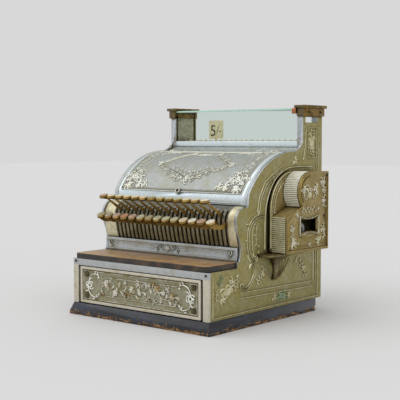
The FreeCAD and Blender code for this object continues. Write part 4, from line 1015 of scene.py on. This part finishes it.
class MakeLid(RegisterOperator):
    """Dress the curved lid and lay its ornament along the curve"""
    bl_idname = "register.lid"
    bl_label = "Lid"

    def execute(self, context):
        def bordered(face):
            middle = face.calc_center_median()
            outside = face.normal.z > 0.05 or face.normal.y < -FACING
            return 1 if outside and (abs(middle.x) > LID_STRIP or middle.z < LID_KNEE.y) else 0

        edges = [((out, 0, 0), (1, 0, 0)) for out in (LID_STRIP, -LID_STRIP)]
        dressed("lid_shell", "lid", ("nickel_lid", "nickel_border"), chooser=bordered,
            cuts=edges + [((0, 0, LID_KNEE.y), (0, 0, 1))], body="lid")
        art = Relief(self.borders, self.corners, self.cartouche)
        art.lay("lid_ornament", "nickel_lid_relief", on_lid, "lid")
        self.keyhole()
        coat("bright_steel", "lid_lock", "lid_hinge_rod")
        return {"FINISHED"}

    def keyhole(self):
        """A bright ring round the dark key slot on the barrel's end."""
        low, high = reach("lid_lock")
        outward = Vector((0, -math.sin(LOCK_TILT), math.cos(LOCK_TILT)))
        upward = Vector((0, math.cos(LOCK_TILT), math.sin(LOCK_TILT)))
        end = (low + high) / 2 + outward * LOCK_LENGTH / 2

        def on_barrel(u, v, rise):
            return end + Vector((u, 0, 0)) + upward * v + outward * rise

        turns = [math.tau / 24 * step for step in range(24)]
        ring = [Vector((math.cos(turn), math.sin(turn))) * RING_RADIUS for turn in turns]
        for name, finish_name, draw, height in (
            ("lock_ring", "drawn_nickel", lambda art: art.stroke(ring + ring[:1], 2.2, closed=True), 1),
            ("lock_keyway", "black_steel", lambda art: art.bead((0, 0), 8.4), 0.5),
        ):
            Relief(draw, height=height).lay(name, finish_name, on_barrel, "lock")

    def borders(self, art):
        """Rails along the edges and up both sides of the curve."""
        top, edge = 163.0, 195.0
        steps = [-22 + (top + 22) / 24 * step for step in range(25)]
        for side in (1, -1):
            for out, width in ((edge, 2.6), (LID_STRIP, 2.4), (LID_STRIP - 4, 1.4), (148, 1.8)):
                levels = steps[3:] if out < edge else steps
                art.stroke([Vector((side * out, level)) for level in levels], width, 0.9)
        for level, width, out in ((-21, 2.4, edge), (-1.0, 2.2, LID_STRIP), (3.5, 1.4, LID_STRIP),
                (top, 2.8, edge), (top - 6, 1.6, 148)):
            art.stroke([Vector((-out + 2 * out / 12 * step, level)) for step in range(13)], width)

    def corners(self, art):
        """Dense foliage in the lower corners and vines up the bands."""
        for side in (1, -1):
            def at(u, v):
                return side * u, v

            art.vine([at(166, 50), at(172, 66), at(160, 80), at(170, 96), at(161, 110), at(168, 124),
                at(164, 140), at(168, 154)], 12, 3, 2.0, 1.1, side)
            for level in (64, 92, 120, 148):
                art.flower(at(166, level), 12, 1.2, 6)
            art.volute(at(178, 8), 90 - side * 10, 50, side * 290, 3.2, 1.3)
            art.volute(at(150, 10), 90 + side * 70, 44, side * -300, 3.0, 1.3)
            for u, v, heading, size in ((166, 6, 100, 22), (164, 31, 60, 24), (151, 54, 130, 20),
                    (134, 16, 170, 24), (116, 17, 180, 20), (150, 30, 150, 20), (178, 40, 80, 18),
                    (140, 36, 130, 18)):
                art.spray(at(u, v), 90 + side * (heading - 90), size, side, 1.2)
            for u, v, size in ((163, 14, 17), (134, 10, 14), (156, 42, 14), (174, 26, 12)):
                art.flower(at(u, v), size, 1.3, 7)
            art.vine([at(148, 134), at(132, 146), at(108, 151), at(84, 148)], 12, 2, 2.0)

    def cartouche(self, art):
        """A scrolled shield in the middle of the lid, left plain inside."""
        outline = ((-101, 88), (-92, 98), (-80, 110), (-60, 128), (-38, 138), (-16, 132), (7, 135),
            (30, 128), (56, 114), (74, 102), (92, 94), (98, 84), (86, 72), (64, 66), (50, 58), (38, 50),
            (20, 44), (5, 40), (-11, 43), (-26, 50), (-45, 58), (-65, 65), (-88, 74))
        art.double(outline, 5.5, 2.6, 1.3, closed=True)
        path = through(outline, 2, closed=True)
        middle = Vector((0, 88))
        for spot in path[::2]:
            away = spot - middle
            heading = math.degrees(math.atan2(away.y, away.x))
            art.leaf(spot, heading + 50, 12, -160, 3.6, 1.2)
            art.leaf(spot, heading - 50, 10, 160, 3.2, 1.1)
        for side in (1, -1):
            art.volute((side * 98, 90), 90 - side * 70, 34, side * -300, 3.2, 1.3)
            art.volute((side * 98, 84), -90 + side * 60, 34, side * 300, 3.2, 1.3)
            art.volute((side * 30, 136), 90 - side * 90, 32, side * 290, 2.8, 1.3)
            art.volute((side * 22, 46), -90 + side * 40, 34, side * -300, 2.8, 1.3)
            art.volute((side * 54, 60), -90 + side * 70, 26, side * -280, 2.6, 1.2)
            for u, v, heading, size in ((108, 88, 0, 18), (84, 106, 50, 15), (66, 121, 55, 15),
                    (46, 132, 60, 15), (78, 66, -50, 15), (36, 44, -60, 15), (16, 38, -90, 15),
                    (92, 74, -30, 13)):
                art.spray((side * u, v), 90 + side * (heading - 90), size, side, 1.1)
        art.vine(((-56, 76), (-38, 68), (-20, 60), (0, 54), (20, 58), (38, 66), (56, 78)), 11, 2, 2.4, 1.1)
        art.spray((-12, 136), 90, 18, 1, 1.2)
        art.spray((4, 30), 270, 17, 1, 1.2)
        art.flower((5, 40), 13, 1.4, 7)


class MakeDeck(RegisterOperator):
    """Dress the deck behind the lid and the window's sill"""
    bl_idname = "register.deck"
    bl_label = "Deck and sill"

    def execute(self, context):
        dressed("deck_plate", "top_deck", ("nickel_lid",))
        dressed("sill_bar", "window_sill", ("nickel_border",))
        Relief(self.ornament).lay("deck_ornament", "nickel_lid_relief", on_deck(ROOF_END.y))
        return {"FINISHED"}

    def ornament(self, art):
        """Leafy scrolls at both ends of the deck."""
        for side in (1, -1):
            art.spray((side * 150, 298), 90 + side * 90, 22, side)
            art.spray((side * 156, 298), 90 - side * 90, 18, side)
            art.volute((side * 120, 300), 90 + side * 90, 24, side * 280, 2.4)


class MakeTower(RegisterOperator):
    """Dress the display tower: caps, glass, clip and amount tablets"""
    bl_idname = "register.tower"
    bl_label = "Display tower"

    def execute(self, context):
        def upright(face):
            level = max(abs(face.normal.x), abs(face.normal.z)) < 0.2
            return 1 if face.normal.y < -FACING or level else 0

        dressed("tower_caps", "column_caps", ("cap_bronze", "nickel_cap"), chooser=upright)
        coat("window_glass", "window_glass")
        dressed("display_top_pane", "top_glass", ("window_glass", "glass_edge"), 0.3,
            lambda face: 1 if abs(face.normal.z) < 0.5 else 0)
        coat("grey_iron", "tablet_guide")
        coat("cream_enamel", "raised_tablet", "lowered_tablets")
        dressed("spring_clip", "glass_clip", ("sheet_copper",))
        self.amount()
        return {"FINISHED"}

    def amount(self):
        """A plain price on the raised tablet: a large figure and a small stroke and dash."""
        bm = bmesh.new()
        middle = (TABLET_LOW.x + TABLET_HIGH.x) / 2
        for words, size, across_at, up in (("5", 40.0, -9.0, 418.0), ("/-", 26.0, 10.0, 424.0)):
            text = bpy.data.curves.new("amount", "FONT")
            text.body = words
            text.size = size
            text.extrude = 0.12
            text.align_x = "CENTER"
            holder = bpy.data.objects.new("amount_outline", text)
            mesh = bpy.data.meshes.new_from_object(holder)
            bpy.data.objects.remove(holder)
            drawn = bmesh.new()
            drawn.from_mesh(mesh)
            stand = Matrix.Rotation(math.radians(90), 4, "X")
            shift = Matrix.Translation((middle + across_at, TABLET_LOW.y, up))
            bmesh.ops.transform(drawn, matrix=shift @ stand, verts=drawn.verts)
            drawn.to_mesh(mesh)
            drawn.free()
            bm.from_mesh(mesh)
        piece("amount_figures", bm, ("printed_ink",), "tablet")


class MakePrinter(RegisterOperator):
    """Dress the ticket printer on the right side"""
    bl_idname = "register.printer"
    bl_label = "Ticket printer"

    def execute(self, context):
        room = (HOUSING_LOW + HOUSING_HIGH) / 2

        def reeded(face):
            middle = face.calc_center_median()
            edge = middle.x < REED_LOW - 1
            if abs(face.normal.x) < 0.5 and (edge or (room - middle).dot(face.normal) > 0):
                return 2
            forward = face.normal.y < -0.05 and middle.x > REED_LOW and middle.y < FRONT + DRUM_CENTRE.x
            plain = PRINTER_STEP - 1 < middle.z < PRINTER_NOTCH.y + 1
            return 1 if forward and not plain else 0

        dressed("printer_drum", "printer_housing", ("printer_bronze", "reed_ground", "black_steel"),
            chooser=reeded)
        dressed("printer_face", "printer_cover", ("printer_bronze",))
        dressed("printer_console", "printer_bracket", ("bracket_bronze",))
        front_reeds = self.reeds(PRINTER_FOOT, PRINTER_STEP - 1)
        drum_reeds = self.reeds(0, (math.pi / 2 - NOTCH_TURN) * DRUM_RADIUS)
        on_cover, on_plate = on_side(1, COVER_HIGH.x), on_side(1, REED_LOW - 0.6)
        for name, finish_name, draw, place, height in (
            ("printer_front_reeds", "reed_bright", front_reeds, on_front(PRINTER_FRONT), 1.4),
            ("printer_drum_reeds", "drum_bright", drum_reeds, on_drum, 1.4),
            ("printer_face_ornament", "printer_relief", self.face_ornament, on_cover, None),
            ("printer_face_rims", "printer_rim", self.rims, on_cover, None),
            ("printer_keyhole", "black_steel", self.keyhole, on_cover, 1),
            ("printer_flange_ornament", "bronze_side_relief", self.flange_ornament, on_plate, None),
            ("console_flutes", "bracket_bronze", self.flutes, on_leg, None),
        ):
            Relief(draw, height=height).lay(name, finish_name, place)
        coat("type_steel", "type_wheels")
        return {"FINISHED"}

    def reeds(self, low, high):
        """Draws fine reeds side by side between two levels."""
        def draw(art):
            level = low + REED_PITCH
            while level < high:
                ends = [Vector((across_at, level)) for across_at in (REED_LOW, COVER_LOW.x - 0.4)]
                art.stroke(ends, REED_PITCH * 0.78, sides=6)
                level += REED_PITCH

        return draw

    def keyhole(self, art):
        """A round hole with its slot below."""
        art.bead((359, 233), 6.5, 0.8)
        art.leaf((359, 233), 270, 9, 0, 3, 0.7)

    def flange_ornament(self, art):
        """Two lines and a vine that follow the back plate."""
        for inset, width in ((3.0, 2.6), (8.5, 1.4)):
            art.stroke(self.flange_line(inset), width)
        art.vine(self.flange_line(17)[2:-2], 9, 8, 1.8)

    def flange_line(self, inset):
        """A line that follows the back plate's front and arch, set in from its edge."""
        first, last = (turn_to(FLANGE_CENTRE, end) for end in (FLANGE_SPRING, FLANGE_CROWN))
        turns = [first + (last - first) * step / 14 for step in range(15)]
        arch = [at_turn(FLANGE_CENTRE, turn, FLANGE_RADIUS - inset) for turn in turns]
        levels = (FLANGE_FOOT + inset + 4, (FLANGE_FOOT + FLANGE_SPRING.y) / 2)
        return [Vector((FLANGE_SPRING.x + inset, level)) for level in levels] + arch

    def rims(self, art):
        """The cover's border lines, the arch over the window and the lip under it."""
        art.rail(((214, 229), (214, 160), (374, 160), (374, 331)), 3.0, 1.1)
        art.rail(((216, 168), (366, 168), (366, 322)), 1.6, 0.8)
        turns = [math.radians(angle) for angle in range(88, 228, 7)]
        for radius, width in ((41, 2.6), (35, 1.6)):
            arch = [DRUM_CENTRE + Vector((math.cos(turn), math.sin(turn))) * radius for turn in turns]
            art.stroke(arch, width)
        art.rail(((268, 258), (216, 232)), 2.4)
        art.line(((264, 189), (280, 186), (297, 185), (314, 186), (330, 189)), 2.6)

    def face_ornament(self, art):
        """The beaded window and the sprays round it."""
        art.flower((297, 283), 17, 1.2, 7)
        art.vine(((360, 322), (354, 304), (361, 286), (355, 268), (360, 252)), 9, 2, 1.8)
        art.vine(((360, 216), (354, 204), (360, 192), (352, 178)), 9, 2, 1.8)
        art.vine(((226, 222), (232, 206), (226, 192), (236, 178), (250, 172)), 9, 2, 1.8)
        art.vine(((262, 247), (280, 252), (297, 248), (314, 252), (334, 247)), 8, 2, 1.6)
        art.volute((278, 292), 250, 34, 280, 2.2)
        art.volute((322, 292), 290, 34, -280, 2.2)
        for place, heading, size in (((297, 294), 90, 20), ((323, 293), 35, 20), ((278, 295), 150, 18),
                ((352, 310), 90, 18), ((357, 291), 80, 15), ((237, 180), 200, 22), ((332, 176), 0, 20),
                ((352, 200), 90, 16), ((228, 208), 90, 14), ((246, 240), 40, 14), ((356, 268), 90, 14),
                ((297, 172), 270, 12)):
            art.spray(place, heading, size)
        window = ((259, 229), (262, 235), (280, 231), (297, 230), (314, 231), (332, 235), (335, 229),
            (335, 200), (332, 193), (314, 197), (297, 198), (280, 197), (262, 193), (259, 200))
        rim = through(window, 4, closed=True)
        art.stroke(rim, 2.4, 1.4, closed=True)
        for spot in rim[::2]:
            away = (spot - Vector((297, 214))).normalized() * 3.2
            art.bead(spot + away, 2.6, 1.2)

    def flutes(self, art):
        """Upright flutes down the outside of the console's leg, which draws in towards its tip."""
        for count in range(4):
            share = count / 3
            flute = ((210 + share * 38, 144), (218 + share * 24, 124), (224.5 + share * 10, 98))
            art.stroke([Vector(point) for point in flute], (4.6, 4.2, 2.4), 1.2)


class MakeMechanism(RegisterOperator):
    """Finish the parts inside, the rear cover and the screws"""
    bl_idname = "register.mechanism"
    bl_label = "Mechanism and rear"

    def execute(self, context):
        for node, finish_name in (
            ("mechanism_deck", "deal_deck"), ("mechanism_frames", "grey_iron"),
            ("counter_wheels", "wheel_brass"), ("key_shaft", "bright_steel"), ("bell", "bell_brass"),
            ("screws", "screw_steel"),
        ):
            coat(finish_name, node)
        dressed("rear_plate", "rear_cover", ("bronze_side",))
        low, high = reach("rear_cover")

        def on_rear(u, v, rise):
            return Vector((u, high.y + rise, v))

        panel = partial(self.panel, low.z + 22, high.x - 24)
        Relief(panel).lay("rear_ornament", "bronze_side_relief", on_rear)
        return {"FINISHED"}

    def panel(self, foot, half, art):
        """A lined panel with scrolled corners and a central flower on the rear cover."""
        top = SILL_FOOT - 32
        middle = (foot + top) / 2
        art.frame((-half, foot), (half, top), 3.2, 1.2)
        art.frame((-half + 9, foot + 9), (half - 9, top - 9), 1.8)
        for side in (1, -1):
            for way, level in ((1, foot + 34), (-1, top - 34)):
                art.volute((side * (half - 16), level), 90 + side * 90 - side * way * 30, 60,
                    side * way * 280, 3.0, 1.2)
                art.spray((side * (half - 34), level - way * 12), 90 + side * 60, 26, side)
            art.vine(((side * 12, middle), (side * 34, middle + 12), (side * 58, middle - 8),
                (side * 84, middle + 6), (side * 104, middle)), 16, 2, 2.4, 1.0, side)
        art.flower((0, middle), 34, 1.3, 8)
        art.spray((0, middle + 16), 90, 30)
        art.spray((0, middle - 16), 270, 30)


class MakeStudio(RegisterOperator):
    """Set the floor, the soft lights and the camera"""
    bl_idname = "register.studio"
    bl_label = "Studio"

    def execute(self, context):
        scene = bpy.context.scene
        scene.view_settings.view_transform = "Standard"
        self.floor()
        self.world(scene)
        self.lamp("key_light", 0.85, 70, (38, 0, -42))
        self.lamp("fill_light", 0.3, 80, (50, 0, 62))
        camera = bpy.data.cameras.new("studio_camera")
        camera.lens = sizes().camera_lens
        camera.sensor_width = 36.0
        holder = bpy.data.objects.new("studio_camera", camera)
        holder.location = CAMERA_PLACE
        holder.rotation_euler = (math.radians(CAMERA_TILT), 0.0, math.radians(CAMERA_TURN))
        scene.collection.objects.link(holder)
        scene.camera = holder
        return {"FINISHED"}

    def floor(self):
        bm = bmesh.new()
        bmesh.ops.create_grid(bm, x_segments=2, y_segments=2, size=12.0)
        mesh = bpy.data.meshes.new("studio_floor")
        bm.to_mesh(mesh)
        bm.free()
        material, add = new_material("matt_paper")[:2]
        shader = add("ShaderNodeBsdfPrincipled", {
            "Base Color": colours().backdrop, "Roughness": 0.9, "Specular IOR Level": 0.1})
        add("ShaderNodeOutputMaterial", {"Surface": shader})
        mesh.materials.append(material)
        floor = bpy.data.objects.new("studio_floor", mesh)
        bpy.context.scene.collection.objects.link(floor)

    def world(self, scene):
        world = bpy.data.worlds.new("studio_world")
        world.use_nodes = True
        world.node_tree.nodes.clear()
        add = partial(add_node, world.node_tree)
        path = add("ShaderNodeLightPath")
        direct = add("ShaderNodeMath", {
            0: path.outputs["Is Camera Ray"], 1: path.outputs["Is Glossy Ray"]}, operation="MAXIMUM")
        seen = add("ShaderNodeMath", {0: direct, 1: path.outputs["Is Transmission Ray"]}, operation="MAXIMUM")
        shown = add("ShaderNodeBackground", {"Color": linear("#D8D8D8"), "Strength": 1.0})
        lit = add("ShaderNodeBackground", {"Color": linear("#FFFFFF"), "Strength": 0.78})
        mix = add("ShaderNodeMixShader", {0: seen, 1: lit, 2: shown})
        add("ShaderNodeOutputWorld", {"Surface": mix})
        scene.world = world

    def lamp(self, name, strength, softness, turn):
        data = bpy.data.lights.new(name, "SUN")
        data.energy = strength
        data.angle = math.radians(softness)
        lamp = bpy.data.objects.new(name, data)
        lamp.rotation_euler = [math.radians(angle) for angle in turn]
        bpy.context.scene.collection.objects.link(lamp)


class RegisterPanel(bpy.types.Panel):
    """Lists the register's pieces, sizes and colours"""
    bl_idname = "VIEW3D_PT_ticket_register"
    bl_label = "Ticket register"
    bl_space_type = "VIEW_3D"
    bl_region_type = "UI"
    bl_category = "Register"

    def draw(self, context):
        for maker in MAKERS:
            self.layout.operator(maker.bl_idname)
        for group in (context.scene.register_sizes, context.scene.register_colours):
            for name in group.__annotations__:
                self.layout.prop(group, name)


MAKERS = (MakeSides, MakeFrontFrame, MakeDrawer, MakeBase, MakeBreast, MakeKeys, MakeLid, MakeDeck,
    MakeTower, MakePrinter, MakeMechanism, MakeStudio)
GROUPS = (RegisterSizes, RegisterColours)


def register():
    for kind in GROUPS + MAKERS + (RegisterPanel,):
        bpy.utils.register_class(kind)
    bpy.types.Scene.register_sizes = PointerProperty(type=RegisterSizes)
    bpy.types.Scene.register_colours = PointerProperty(type=RegisterColours)


def unregister():
    del bpy.types.Scene.register_colours
    del bpy.types.Scene.register_sizes
    for kind in reversed(GROUPS + MAKERS + (RegisterPanel,)):
        bpy.utils.unregister_class(kind)


def main():
    register()
    for maker in MAKERS:
        group, name = maker.bl_idname.split(".")
        getattr(getattr(bpy.ops, group), name)()


if __name__ == "__main__":
    main()
